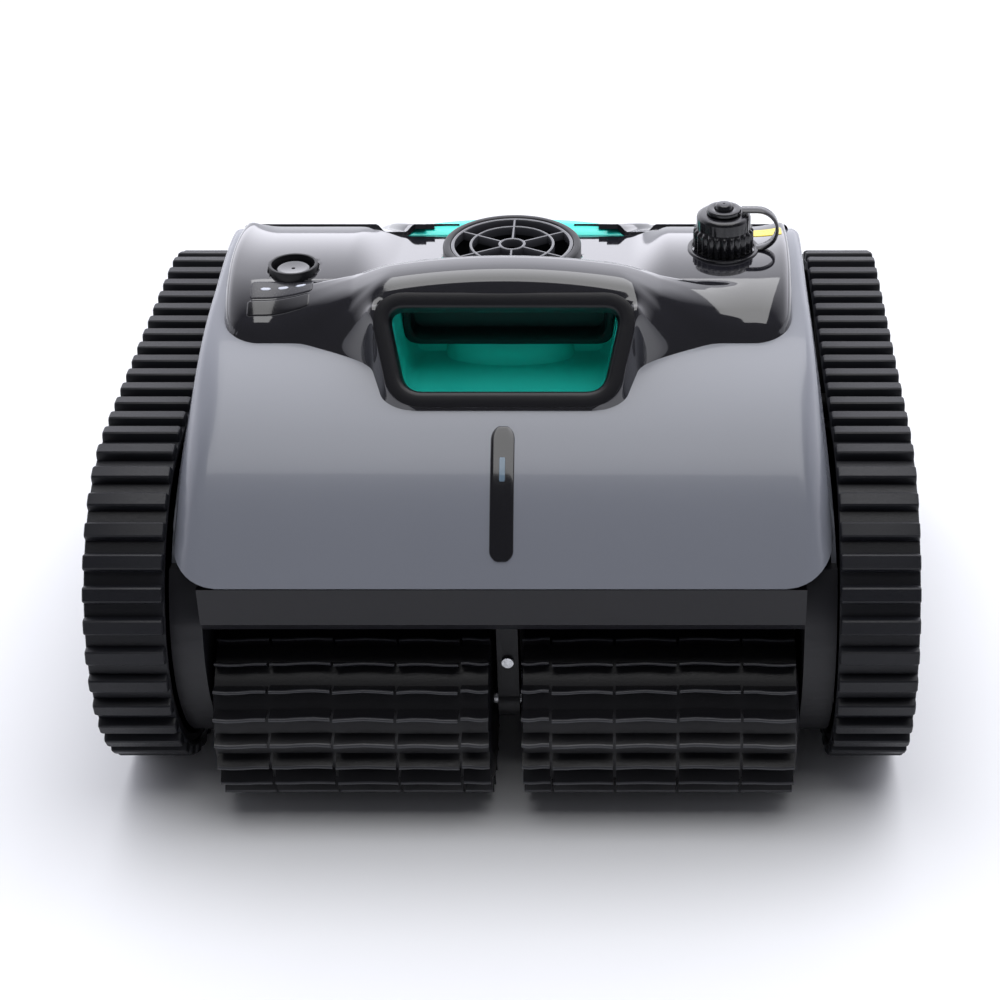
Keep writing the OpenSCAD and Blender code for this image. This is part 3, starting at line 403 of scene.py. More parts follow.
LIGHT_BLUE = plastic("lamp_lens", (0.10, 0.16, 0.22), 0.15, 700, 0.01, 0.05, coat=0.5)
WINDOW_BLACK = plastic("window_black", (0.006, 0.006, 0.008), 0.12, 800, 0.01, 0.1, 0.03, 0.4)
TIP_RUBBER = plastic("paddle_tips", (0.030, 0.031, 0.037), 0.38, 1100, 0.10, 0.2, 0.08)


# ---- grey front shell ----
def flank_x(z):
    """Half width of the body at height z: upright low down, leaning in at the shoulder."""
    s = min(1.0, max(0.0, (z - SHOULDER_Z) / SHOULDER_RISE))
    return BODY_HW - SHOULDER_LEAN * s ** 1.35


def seam_z(y):
    """Height of the seam under the shell's flank at y."""
    return SEAM_REAR_Z + (REAR_Y - y) * (SEAM_FRONT_Z - SEAM_REAR_Z) / (REAR_Y - NOSE_Y)


def corner_radius(i, last_nose):
    """Rounding between the shell's face and its flank along the side line."""
    return mix(FOOT_CORNER_R, TOP_CORNER_R, ease(0, last_nose, i)) if i < last_nose else TOP_CORNER_R


def front_shell():
    """Grey shell: the nose, its flanks, and the narrow bands beside the deck and the rear cover."""
    line = NOSE + SHELL_TOP[1:] + SHELL_REAR[1:]
    last_nose = len(NOSE) - 1
    cover_edge = DECK_HW - 2
    face_cols = spaced(0, 60, 6) + spaced(66, cover_edge, 16)
    rows = []
    for i, (y, z) in enumerate(line):
        n = normal_at(line, i)
        rad = corner_radius(i, last_nose)
        edge = flank_x(z) - rad
        crease = mix(150, 164, ease(last_nose * 0.75, last_nose * 0.1, i))
        strength = 0.30 * ease(0.0, last_nose * 0.25, i) * ease(last_nose, last_nose * 0.6, i)

        def at(x, depth):
            fold = strength * max(0.0, x - crease + rad * 0.6)
            return (x, y + n[0] * (depth + fold), z + n[1] * (depth + fold))

        row = [at(min(x, edge) if i < last_nose else x, 0) for x in face_cols]
        row += [at(max(edge, cover_edge) + rad * math.sin(a), rad * (1 - math.cos(a)))
                for a in quarter(10)[1:]]
        end = row[-1]
        foot = (max(y, NOSE_Y + 3), seam_z(y))
        for t in spaced(0, 1, 7)[1:]:
            low = mix(end[2], min(foot[1], end[2] - 1), t)
            row.append((flank_x(low), mix(end[1], foot[0], t), low))
        rows.append(row)
    lift_corner(rows)
    hole_hw, hole_front = 56, -14
    hole_row = next(i for i, p in enumerate(line) if p[0] > hole_front)
    points = []
    faces = []
    for side in (-1, 1):
        start = len(points)
        points += [(side * p[0], p[1], p[2]) for row in rows for p in row]

        def keep(i, j):
            behind = i >= last_nose and j < len(face_cols) - 1
            in_hole = i >= hole_row and j < len(face_cols) and face_cols[j] < hole_hw
            return not behind and not in_hole

        faces += grid_faces(len(rows), len(rows[0]), keep, start=start)
    shell = new_piece("front_shell_skin", points, faces, SHELL_GREY, "root", 60,
                      (0, 0, 1))
    thicken(shell, WALL)
    round_edges(shell, 0.8, 3, 60)
    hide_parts("front_shell")


def lift_corner(rows):
    """Rounds the shell's two lower front corners by drawing its first rows up near the sides."""
    reach, height = 27.0, 24.0
    count = 14  # the rows that share the movement out
    for j, (x, _, _) in enumerate(list(rows[0])):
        near = min(1.0, max(0.0, (x - (BODY_HW - reach)) / reach))
        lift = height * (1 - math.sqrt(max(0.0, 1 - near * near)))
        column = [rows[i][j] for i in range(count + 1)]
        z0, z1 = column[0][2], column[-1][2]
        if lift <= 0 or z1 <= z0 + 1:
            continue
        share = min(0.97, lift / (z1 - z0))
        for i in range(count):
            t = share + (1 - share) * i / count
            spot = t * count
            k = min(int(spot), count - 1)
            rows[i][j] = tuple(mix(column[k][c], column[k + 1][c], spot - k) for c in range(3))


def nose_point(x, z, out):
    """A point on the nose at height z, standing proud of it by out."""
    inverse = [(q, y) for y, q in NOSE]
    y = height_on(inverse, z)
    dy = height_on(inverse, z + 1) - height_on(inverse, z - 1)
    length = math.hypot(dy, 2)
    return (x, y - out * 2 / length, z + out * dy / length)


def nose_pill(name, half, low, high, out, material):
    """A pill-shaped plate laid on the nose, with its border rolled into the shell."""
    rows = []
    count = 48
    slope = 0.72  # the nose rises by this much for each step along it
    border, rim_width = 1.3, 0.8
    stations = (-1, -0.97, -0.9, -0.5, 0, 0.5, 0.9, 0.97, 1)
    for i in range(count + 1):
        v = 0.5 - 0.5 * math.cos(math.pi * i / count)
        z = mix(low, high, v)
        end = min(z - low, high - z)
        gap = max(0.0, half - end / slope)
        wide = math.sqrt(max(0.0, half * half - gap * gap)) if end / slope < half else half
        rim = min(1.0, end / slope / rim_width)
        row = []
        for u in stations:
            sink = max({1: border, 0.97: 0.25}.get(abs(u), 0), border * (1 - rim) ** 2)
            row.append(nose_point(u * max(wide, 0.05), z, out - sink))
        rows.append(row)
    points = [p for row in rows for p in row]
    obj = new_piece(name, points, grid_faces(len(rows), len(stations)), material, "root", 50,
                    (0, -1, 1))
    thicken(obj, 1.2)
    return obj


def status_window():
    """The pill-shaped window on the nose, with the small lamp in it."""
    x0, x1, _, _, z0, z1 = node_box("status_window")
    lens = nose_pill("status_window_lens", (x1 - x0) / 2 + 0.1, z0, z1, 0.5, WINDOW_BLACK)
    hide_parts("status_window")
    lamp_low, lamp_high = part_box("status_light")
    lamp = nose_pill("status_lamp_lens", 1.5, lamp_low.z / MM, lamp_high.z / MM, 0.75, LIGHT_BLUE)
    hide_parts("status_light")
    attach(lamp, "root")


# ---- black deck, bridge and handle frame ----
FOOT = (-16.0, 205.0)  # the (y, z) from which the handle's sloping plane rises
RUN, RISE = 34.0, 46.0
SLOPE_LEN = math.hypot(RUN, RISE)
UP = (RUN / SLOPE_LEN, RISE / SLOPE_LEN)
OUT = (-UP[1], UP[0])
FRAME_T = 4.0
CUP_FLOOR = CUP[4] + 2
CUP_BACK = 50.5
BRIDGE = cubic((12, 246), (15, 262), (23, 263.6), (36, 263), 12)
BRIDGE += [(41, 261.6), (44, 258), (46, 250)]


def on_slope(x, up, out):
    """A point up the handle's sloping plane from its foot, standing out in front of it."""
    return (x, FOOT[0] + up * UP[0] + out * OUT[0], FOOT[1] + up * UP[1] + out * OUT[1])


def slope_z(y):
    """Top of the handle frame's sloping plane at y."""
    y0 = FOOT[0] + OUT[0] * FRAME_T
    z0 = FOOT[1] + OUT[1] * FRAME_T
    return z0 + (y - y0) * RISE / RUN


def crest_z(ax, y):
    """The frame's slope running over the bridge, which arches gently from side to side."""
    join, blend = 10.0, 7.0
    high = height_on(BRIDGE, y) - 5 * min(1.3, ax / 60) ** 2
    return mix(slope_z(y), high, ease(join, join + blend, y))


def handle_reach(y):
    """Where the handle's rise starts and ends on each side at y: (inner, outer) distances."""
    v = (y - FOOT[0] - OUT[0] * FRAME_T) / UP[0]
    bend = 14.0
    side = mix(58.5, 70, max(0.0, v) / SLOPE_LEN) - roll(bend - v, bend)
    return mix(side - 2.5, 56, ease(8, 30, y)), mix(side + 1.0, 124, ease(2, 30, y) ** 1.2), v


def deck_z(x, y):
    """Height of the black deck's upper surface: wings, middle plate, and the handle's rise."""
    ax = abs(x)
    skin = height_on(NOSE, y) - 1.2
    bend = 20.0
    late = min(1.0, max(0.0, ax - DECK_HW + bend) / bend)
    front = y - bend * (1 - math.sqrt(1 - late * late))
    wing = mix(skin - 1.5 * late, height_on(WING, front), ease(20, 24, front))
    inner, reach, v = handle_reach(y)
    middle = ease(reach, inner, ax) * ease(-0.6, 0.9, v)
    if y < 46:
        z = mix(wing, crest_z(ax, y), middle)
    else:
        ramp = ease(84, 60, ax)
        z = mix(wing, mix(min(250, wing), height_on(PLATE, y), ease(46, 49, y)), ramp)
    if 44 < y < 51 and ax < 57:  # slot behind the bridge
        z = min(z, mix(z, 236, ease(44, 45.5, y) * ease(51, 49.5, y) * ease(57, 55.5, ax)))
    pocket, well = 6, 6  # depths beside the water outlet and round the power button
    z -= pocket * ease(38, 41, ax) * ease(61, 58, ax) * ease(49, 51, y) * ease(74, 60, y)
    z -= roll(ax - (DECK_HW - DECK_EDGE), DECK_EDGE)
    z -= roll(y - (DECK_REAR - DECK_TAIL), DECK_TAIL)
    far = math.hypot(x - BUTTON_AT[0], y - BUTTON_AT[1])
    return z - well * ease(12.4, 11.4, far)


def deck_row(y):
    """The deck's x stations at y, closer together where the handle rises out of the wings."""
    inner, reach, _ = handle_reach(y)
    rim = [DECK_HW - DECK_EDGE * (1 - math.sin(a)) for a in quarter(6)[1:]]
    half = spaced(0, inner, 22) + spaced(inner, reach, 44)[1:]
    half += spaced(reach, DECK_HW - DECK_EDGE, 30)[1:] + rim
    return [-x for x in reversed(half[1:])] + half


def top_deck():
    """Black deck as one skin, open at the water outlet and at the grip opening."""
    ys = spaced(-21, -14, 12) + spaced(-14, DECK_REAR - DECK_TAIL, 112)[1:]
    ys += [DECK_REAR - DECK_TAIL / 2, DECK_REAR]
    seat = 240  # the feet of the skin's sides lie no higher than this
    points = []
    for y in ys:
        under = min(seat, height_on(NOSE if y < 54 else SHELL_TOP, y) - 2)
        row = [(x, y, deck_z(x, y)) for x in deck_row(y)]
        points += [(-DECK_HW, y, min(under, row[0][2] - 0.1)), *row,
                   (DECK_HW, y, min(under, row[-1][2] - 0.1))]
    cols = len(points) // len(ys)

    def keep(i, j):
        a, b = points[i * cols + j], points[(i + 1) * cols + j + 1]
        x, y = (a[0] + b[0]) / 2, (a[1] + b[1]) / 2
        if math.hypot(x - OUTLET[0], y - OUTLET[1]) < RING_R - 2:
            return False
        v = (y - FOOT[0]) * UP[0] + (slope_z(y) - FOOT[1]) * UP[1]
        if 4 < v < SLOPE_LEN - 4 and abs(x) < opening_hw(v) + 4:
            return False
        return max(a[2], b[2]) > height_on(NOSE, y) - 4 or y > 30

    deck = new_piece("top_deck_skin", points, grid_faces(len(ys), cols, keep), GLOSS_BLACK, "root",
                     55, (0, 0, 1))
    bm = bmesh.new()
    bm.from_mesh(deck.data)
    bmesh.ops.delete(bm, geom=[v for v in bm.verts if not v.link_faces], context="VERTS")
    bm.to_mesh(deck.data)
    bm.free()
    thicken(deck, 2.2)
    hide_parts("top_deck")


def opening_hw(v):
    """Half width of the grip opening at distance v up the slope."""
    return mix(49.5, 58.5, (v - 8) / (SLOPE_LEN - 16))


def handle_frame():
    """Bevelled frame round the grip opening, rolled inwards at its inner edge."""
    low_v, high_v = 8.0, SLOPE_LEN - 8.0
    corners = [(-opening_hw(low_v), low_v), (opening_hw(low_v), low_v),
               (opening_hw(high_v), high_v), (-opening_hw(high_v), high_v)]
    inner = rounded(corners, 9, 8)
    rings = []
    section = [(7.5, -3.5), (8.3, -0.6), (8.0, 0.25), (6.8, 0.55), (2.6, 0.5), (1.2, 0.1),
               (0.4, -0.9), (0, -2.4), (-0.6, -8), (1.8, -8.2), (2.4, -4)]
    for away, out in section:
        ring = []
        for i, (x, up) in enumerate(inner):
            a, b = Vector(inner[i - 1]), Vector(inner[(i + 1) % len(inner)])
            d = (b - a).normalized()
            ring.append(on_slope(x + d.y * away, up - d.x * away, FRAME_T + out))
        rings.append(ring)
    rings.append(rings[0])
    loft("handle_frame", rings, FRAME_BLACK, "root", False, 50)


def handle_cup():
    """Teal pocket behind the grip opening, one smooth skin from the opening to its back wall."""
    mouth = rounded([(-50, 8), (50, 8), (59, SLOPE_LEN - 6), (-59, SLOPE_LEN - 6)], 8, 6)
    tall = 42
    middle = rounded([(-51, 0), (51, 0), (57, tall), (-57, tall)], 5, 6)
    rings = [[], [], [], []]
    for (u, v), (x, h) in zip(mouth, middle):
        lift = h / tall
        rings[0].append(on_slope(u, v, 0))
        rings[1].append((x, mix(1, 22, lift), CUP_FLOOR + h))
        rings[2].append((x, mix(46, 47, lift), CUP_FLOOR + h))
        rings[3].append((x * 0.94, CUP_BACK, CUP_FLOOR + 2 + h * 0.9))
    points = [p for ring in rings for p in ring]
    n = len(mouth)
    faces = grid_faces(4, n, wrap=True) + [tuple(range(3 * n, 4 * n))]
    cup = new_piece("handle_cup_pocket", points, faces, TEAL, "root", 45)
    thicken(cup, 1.2, 1)
    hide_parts("handle_cup")


def cup_bulge():
    """Rounded housing that pushes into the back of the cup."""
    rings = []
    foot, tall = CUP_FLOOR - 1, 12
    for t in spaced(0, 1, 6):
        half, deep = mix(34, 32, t), mix(13, 10, t)
        rings.append([(half * math.cos(a), CUP_BACK - deep * math.sin(a), mix(foot, foot + tall, t))
                      for a in spaced(0, math.pi, 24)])
    loft("cup_bulge", rings, TEAL, "root")


def grip_liner():
    """Gloss black lining that hangs behind the bridge, with its front rim rolled back."""
    x0, x1, y0, y1, z0, z1 = node_box("grip_liner")
    y0 -= 8  # the liner hangs further forward than its CAD node
    hw = (x1 - x0) / 2

    def plate(inset, low_cut):
        return rounded([(-hw + inset, z0 + low_cut), (hw - inset, z0 + low_cut),
                        (hw - inset, z1 + 3), (-hw + inset, z1 + 3)], 9 - inset * 0.5, 6)

    rings = [[(x, y1, z) for x, z in plate(0, 0)],
             [(x, y0 + 1, z) for x, z in plate(0, 0)],
             [(x, y0, z) for x, z in plate(1, 1)],
             [(x, y0, z) for x, z in plate(3, 3)],
             [(x, y0 + 1, z) for x, z in plate(4, 4)],
             [(x, y1 - 2, z) for x, z in plate(5, 6)]]
    liner = loft("grip_liner_pan", rings, FRAME_BLACK, "root", True, 35)
    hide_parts("grip_liner")


# ---- water outlet ----
def outlet_ring():
    """Raised ring round the water outlet."""
    z0, z1 = RING[4], RING[5]
    r1 = RING_R
    r0 = RING_R - 4
    outer, inner = 1.6, 1.0  # rounding of the ring's two upper edges
    profile = [(r0, z0), (r1 - 0.6, z0), (r1, z0 + 1)]
    profile += [(r1 - outer + outer * math.cos(a), z1 - outer + outer * math.sin(a))
                for a in quarter(5)]
    profile += [(r0 + inner - inner * math.sin(a), z1 - inner + inner * math.cos(a))
                for a in quarter(4)]
    profile.append((r0, z0))
    ring = turned("outlet_ring_turned", OUTLET, profile, FRAME_BLACK, "root", 96)
    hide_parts("outlet_ring")


def rounded_bar(r0, r1, z0, z1, soft):
    """Cross-section of a turned bar, closed, with rounded upper edges."""
    mid = soft * 0.3
    return [(r0, z0), (r1, z0), (r1, z1 - soft), (r1 - mid, z1 - mid), (r1 - soft, z1),
            (r0 + soft, z1), (r0 + mid, z1 - mid), (r0, z1 - soft), (r0, z0)]


def outlet_grille():
    """Three rings and six spokes across the water outlet."""
    z0, z1 = GRILLE[4], GRILLE[5] + 0.6
    reach = (GRILLE[1] - GRILLE[0]) / 2
    first = None
    for name, r0, r1 in (("hub", 5.6, 7.4), ("middle", 20.9, 22.6), ("rim", reach - 2.2, reach)):
        ring = turned("grille_" + name, OUTLET, rounded_bar(r0, r1, z0, z1, 0.7), GRILLE_BLACK,
                      "root", 72)
        first = first or ring
    half, flat = 0.85, 0.45  # half widths of a spoke, and of its upper face
    section = [(-half, z0), (half, z0), (half, z1 - 0.8), (flat, z1 - 0.25), (-flat, z1 - 0.25),
               (-half, z1 - 0.8)]
    for k in range(6):
        a = math.pi / 2 + k * math.pi / 3
        c, s = math.cos(a), math.sin(a)
        rings = [[(OUTLET[0] + r * c - w * s, OUTLET[1] + r * s + w * c, z) for w, z in section]
                 for r in (6.8, 14, 20.9, 26, reach - 1.6)]
        loft(f"grille_spoke_{k}", rings, GRILLE_BLACK, "root")
    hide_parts("outlet_grille")


# ---- charging port ----
def port_pad():
    """Round base of the charging port with the stub that the cap sits on."""
    z0, z1 = 239, CAP[4] - 0.5
    r = (PORT[1] - PORT[0]) / 2
    soft, stub_r = 2, 11
    profile = [(r, z0), (r, z1 - soft)]
    profile += [(r - soft + soft * math.cos(a), z1 - soft + soft * math.sin(a))
                for a in spaced(0.3, math.pi / 2, 4)]
    profile += [(r - 4.5, z1), (r - 5.2, z1 - 0.5), (stub_r, z1 - 0.5), (stub_r, PORT[5] - 0.6),
                (stub_r - 0.6, PORT[5]), (1, PORT[5]), (1, z0)]
    pad = turned("charge_port_pad", PORT_AT, profile, GLOSS_BLACK, "root", 80)
    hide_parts("charge_port")


def charge_cap():
    """Ribbed cap: deep lobes low down, a smooth crown above them and a small pip on top."""
    lobes = 24
    x0, x1, _, _, z0, z1 = CAP
    wide = (x1 - x0) / 2
    crown_r = 14.1
    crown_top = z1 - 5.5
    knurl_top = z0 + 11.5

    def ribbed(a, r, z):
        if r < crown_r - 1:
            return r
        wave = 0.5 + 0.5 * math.cos(a * lobes)
        deep = 1.3 if z < knurl_top + 0.2 else 0.35 * ease(knurl_top + 4, knurl_top, z)
        return r - deep * (1 - wave ** 0.6)

    bore_r, pip_r = 11.3, 4.4
    profile = [(bore_r, z0 + 0.1), (wide - 0.8, z0 + 0.1), (wide, z0 + 1), (wide, knurl_top - 0.6),
               (wide - 0.4, knurl_top), (crown_r + 0.2, knurl_top + 0.6), (crown_r, knurl_top + 1.2),
               (crown_r, crown_top - 2.2), (crown_r - 0.4, crown_top - 1),
               (crown_r - 1.2, crown_top - 0.3), (crown_r - 2.4, crown_top), (4.6, crown_top),
               (pip_r, crown_top + 0.4), (pip_r, z1 - 1), (3.9, z1 - 0.3), (3.2, z1), (0.6, z1),
               (0.6, z1 - 7), (bore_r, z1 - 9)]
    profile.append(profile[0])
    cap = turned("charge_cap_ribbed", PORT_AT, profile, CAP_RUBBER, "charge_cap", 192,
                 ribbed, 50)
    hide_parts("charge_cap")


def cap_collar():
    """Ring under the cap's tip, which the strap holds."""
    x0, x1, _, _, z0, z1 = node_box("cap_ring")
    bore_r = 4.9
    profile = rounded_bar(bore_r, (x1 - x0) / 2, z0, z1, 0.8)
    ring = turned("cap_collar", PORT_AT, profile, CAP_RUBBER, "cap_ring", 72)
    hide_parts("cap_ring")


def cap_strap():
    """Flat rubber strap that loops from the collar to the port's base."""
    _, x1, _, _, z0, z1 = node_box("cap_strap")
    thick = 1.6
    profile = rounded_bar(16.4, 18.6, z0, z0 + 1.5, 0.4)
    base = turned("strap_base_ring", PORT_AT, profile, CAP_RUBBER, "root", 72)
    low, high = z0 + thick / 2, z1 - thick / 2
    arc = (high - low) / 2
    bend = x1 - PORT_AT[0] - arc - thick / 2
    path = [(9.4, high, math.pi / 2), (13, high, math.pi / 2)]
    for k in range(17):
        a = math.pi / 2 - math.pi * k / 16
        path.append((bend + arc * math.cos(a), (low + high) / 2 + arc * math.sin(a), a))
    half, face, soft = 3.4, 0.75, 0.4
    section = ((-half, -soft), (-half + soft, -face), (half - soft, -face), (half, -soft),
               (half, soft), (half - soft, face), (-half + soft, face), (-half, soft))
    rings = [[(PORT_AT[0] + x + math.cos(a) * t, PORT_AT[1] + w, z + math.sin(a) * t)
              for w, t in section] for x, z, a in path]
    loft("cap_strap_loop", rings, CAP_RUBBER, "root", True, 45)
    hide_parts("cap_strap")


# ---- power button, labels ----
def power_button():
    """Dished button with a lip, and the collar that stands round it."""
    x0, x1, _, _, z0, z1 = BUTTON
    lip = (x1 - x0) / 2
    r = lip - 1.8
    profile = [(lip, z0), (lip, z0 + 1.8), (r, z0 + 2), (r, z1 - 0.9), (r - 0.3, z1 - 0.3),
               (r - 0.9, z1), (r - 1.8, z1), (r - 3.0, z1 - 0.3), (1, z1 - 0.5), (1, z0)]
    button = turned("power_button_dished", BUTTON_AT, profile, GLOSS_BLACK, "power_button",
                    64)
    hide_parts("power_button")
    turned("button_collar", BUTTON_AT, rounded_bar(11.0, 12.7, 240, 248.8, 0.5), FRAME_BLACK,
           "root", 72)


def wing_label(name, box, material, rise=0.35):
    """A thin label with round corners that lies on a wing of the deck."""
    x0, x1, y0, y1 = box
    bend = 1.4  # rounding of the corners
    pitch = 0.8  # distance between the label's points
    rows = []
    for y in spaced(y0, y1, max(4, int((y1 - y0) / pitch))):
        near = min(bend, y - y0, y1 - y)
        cut = roll(bend - near, bend)
        rows.append([(x, y, deck_z(x, y) + rise)
                     for x in spaced(x0 + cut, x1 - cut, max(4, int((x1 - x0) / pitch)))])
    points = [p for row in rows for p in row]
    label = new_piece(name, points, grid_faces(len(rows), len(rows[0])), material, "root", 50,
                      (0, 0, 1))
    thicken(label, 0.9)
    return label


def control_strip():
    """Dark strip beside the button, with three plain generic marks and a flat painted shade sheet in
    front of it.
    """
    x0, x1, y0, y1, _, _ = node_box("control_label")
    strip = wing_label("control_strip", (x0, x1, y0, y1), LABEL_DARK)
    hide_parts("control_label")
    # Painted shade: a flat darker sheet lies in front of the strip where the scoop's shade falls, in
    # place of a real recess.
    wing_label("painted_scoop_shade", (x0 - 1, x1 - 1, y0 - 8, y0 - 0.6), WINDOW_BLACK, 0.1)
    mid = (y0 + y1) / 2
    for k in range(3):
        x = x0 + 5 + k * 9
        wing_label(f"control_mark_{k}", (x, x + 5.6, mid - 0.7, mid + 0.9), MARK, 0.5)


def warning_label():
    """Yellow label behind the port, left blank."""
    x0, x1, y0, y1, _, _ = node_box("warning_label")
    label = wing_label("blank_yellow_label", (x0, x1, y0, y1), LABEL_YELLOW, 0.3)
    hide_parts("warning_label")


# ---- rear cover ----
def groove(s):
    """A valley's middle, half width and depth at share s of the way down the cover."""
    t = min(1.0, s / 0.62)
    return mix(66, 98, t ** 0.85), mix(10.5, 0.6, t), mix(4.2, 0.8, t) * ease(1.0, 0.9, t)


def cover_row(s):
    """The cover's x stations at share s, closer together across the valleys."""
    middle, half, _ = groove(s)
    rim = [COVER_HW - COVER_EDGE * (1 - math.sin(a)) for a in quarter(6)[1:]]
    out = spaced(0, 54, 12) + spaced(54, middle - half, 6)[1:]
    out += spaced(middle - half, middle + half, 16)[1:]
    out += spaced(middle + half, COVER_HW - COVER_EDGE, 24)[1:] + rim
    return [-x for x in reversed(out[1:])] + out


def rear_cover():
    """Black cover with its two valleys, cut out round the finger pull, and its hinge bead."""
    rows = []
    line = COVER_LINE
    for i, (y, z) in enumerate(line):
        n = normal_at(line, i)
        s = i / (len(line) - 1)
        middle, half, deep = groove(s)
        row = []
        for x in cover_row(s):
            depth = deep * ease(1.0, 0.5, abs(abs(x) - middle) / half) + 0.5 * ease(173, 176, y)
            depth += roll(abs(x) - (COVER_HW - COVER_EDGE), COVER_EDGE)
            row.append((x, y + n[0] * depth, z + n[1] * depth))
        rows.append(row)
    xs = cover_row(0)
    half = (PULL[1] - PULL[0]) / 2 - 10

    def keep(i, j):
        x = (xs[j] + xs[j + 1]) / 2
        arc = math.sqrt(max(0.0, 1 - (x / half) ** 2))
        return not (abs(x) < half and line[i][0] < mix(PULL[2], PULL[3] - 5, arc))

    points = [p for row in rows for p in row]
    cover = new_piece("rear_cover_skin", points, grid_faces(len(rows), len(xs), keep), GLOSS_BLACK,
                      "rear_cover", 50, (0, 1, 1))
    thicken(cover, WALL)
    round_edges(cover, 0.5, 2, 60)
    bead, bead_r = COVER[4] + 3, 2.5
    rings = [[(x, REAR_Y - 2.9 + bead_r * math.cos(a), bead + 0.3 + bead_r * math.sin(a))
              for a in circle(24)] for x in (-COVER_HW + 0.3, -40, 40, COVER_HW - 0.3)]
    loft("cover_hinge_bead", rings, GLOSS_BLACK, "rear_cover")
    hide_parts("rear_cover")


def cover_pull():
    """Teal finger pull: a raised tongue whose rear edge is a long arc."""
    x0, x1, y0, y1, _, z1 = PULL
    half = (x1 - x0) / 2
    rings = []
    for x in [-half * math.cos(math.pi * k / 40) for k in range(1, 40)]:
        share = math.sqrt(1 - (x / half) ** 2) ** 0.9
        back = mix(y0 + 2, y1 + 0.5, share)
        top = z1 + 3 * share
        skin = height_on(COVER_LINE, back)
        rings.append([(x, y0, z1 - 6), (x, y0, z1 - 0.6), (x, y0 + 0.6, z1),
                      (x, mix(y0, back, 0.55), mix(z1, top, 0.85)), (x, back - 1.2, top),
                      (x, back - 0.3, top - 0.6), (x, back, min(top - 1.5, skin + 1)),
                      (x, back, min(top - 3, skin - 3))])
    pull = loft("cover_pull_scoop", rings, TEAL, "rear_cover", True, 45)
    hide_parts("cover_pull")


# ---- tracks ----
def track(side):
    """A rubber band round both wheels of one side, and its row of cleats."""
    out_x, in_x = BELT[1], BELT[0]
    name = "left" if side < 0 else "right"
    cleat_h, band_t, count, steps = 5, 3, 60, 180
    belt_out = (BELT[5] - BELT[4]) / 2 - cleat_h
    belt_in = belt_out - band_t
    loop = 2 * math.pi * belt_out + 2 * WHEELBASE

    def on_loop(s):
        """(y, turn) of a point at distance s round the belt, from the top of the front wheel."""
        arc = math.pi * belt_out
        if s < WHEELBASE:
            return s, 0
        if s < WHEELBASE + arc:
            return WHEELBASE, (s - WHEELBASE) / belt_out
        if s < 2 * WHEELBASE + arc:
            return 2 * WHEELBASE + arc - s, math.pi
        return 0, math.pi + (s - 2 * WHEELBASE - arc) / belt_out

    points = []
    faces = []
    section = [(in_x + 0.4, belt_in), (out_x - 0.4, belt_in), (out_x, belt_in + 0.5),
               (out_x, belt_out - 0.5), (out_x - 0.5, belt_out), (in_x + 0.5, belt_out),
               (in_x, belt_out - 0.5), (in_x, belt_in + 0.5)]
    for k in range(steps):
        y, turn = on_loop(loop * k / steps)
        for x, r in section:
            points.append((side * x, y + r * math.sin(turn), AXLE_Z + r * math.cos(turn)))
    n = len(section)
    for k in range(steps):
        for j in range(n):
            a, b = k * n + j, k * n + (j + 1) % n
            c, d = ((k + 1) % steps) * n + (j + 1) % n, ((k + 1) % steps) * n + j
            faces.append((a, b, c, d))
    belt = new_piece("track_band_" + name, points, faces, RUBBER, "root", 40)
    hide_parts("track_belt_" + name)
    points = []
    faces = []
    profile = [(-4.6, -0.8), (-4.3, 2.6), (-3.7, 4.3), (-2.9, 4.9), (2.9, 4.9), (3.7, 4.3),
               (4.3, 2.6), (4.6, -0.8)]
    ends = [(0.0, 0.90, -0.9), (0.5, 0.97, -0.35), (1.6, 1.0, 0)]
    stations = [(in_x + 0.2 + d, w, h) for d, w, h in ends]
    stations += [(out_x - 0.2 - d, w, h) for d, w, h in reversed(ends)]
    for k in range(count):
        y, turn = on_loop(loop * k / count)
        c, s = math.cos(turn), math.sin(turn)
        start = len(points)
        for x, narrow, lower in stations:
            for along, up in profile:
                r = belt_out + (up + lower if up > 0 else up)
                w = along * narrow
                points.append((side * x, y + r * s + w * c, AXLE_Z + r * c - w * s))
        m = len(profile)
        faces += grid_faces(len(stations), m, wrap=True, start=start)
        faces.append(tuple(range(start, start + m))[::-1])
        faces.append(tuple(range(start + (len(stations) - 1) * m, start + len(stations) * m)))
    new_piece("track_cleats_" + name, points, faces, RUBBER, "root", 28)


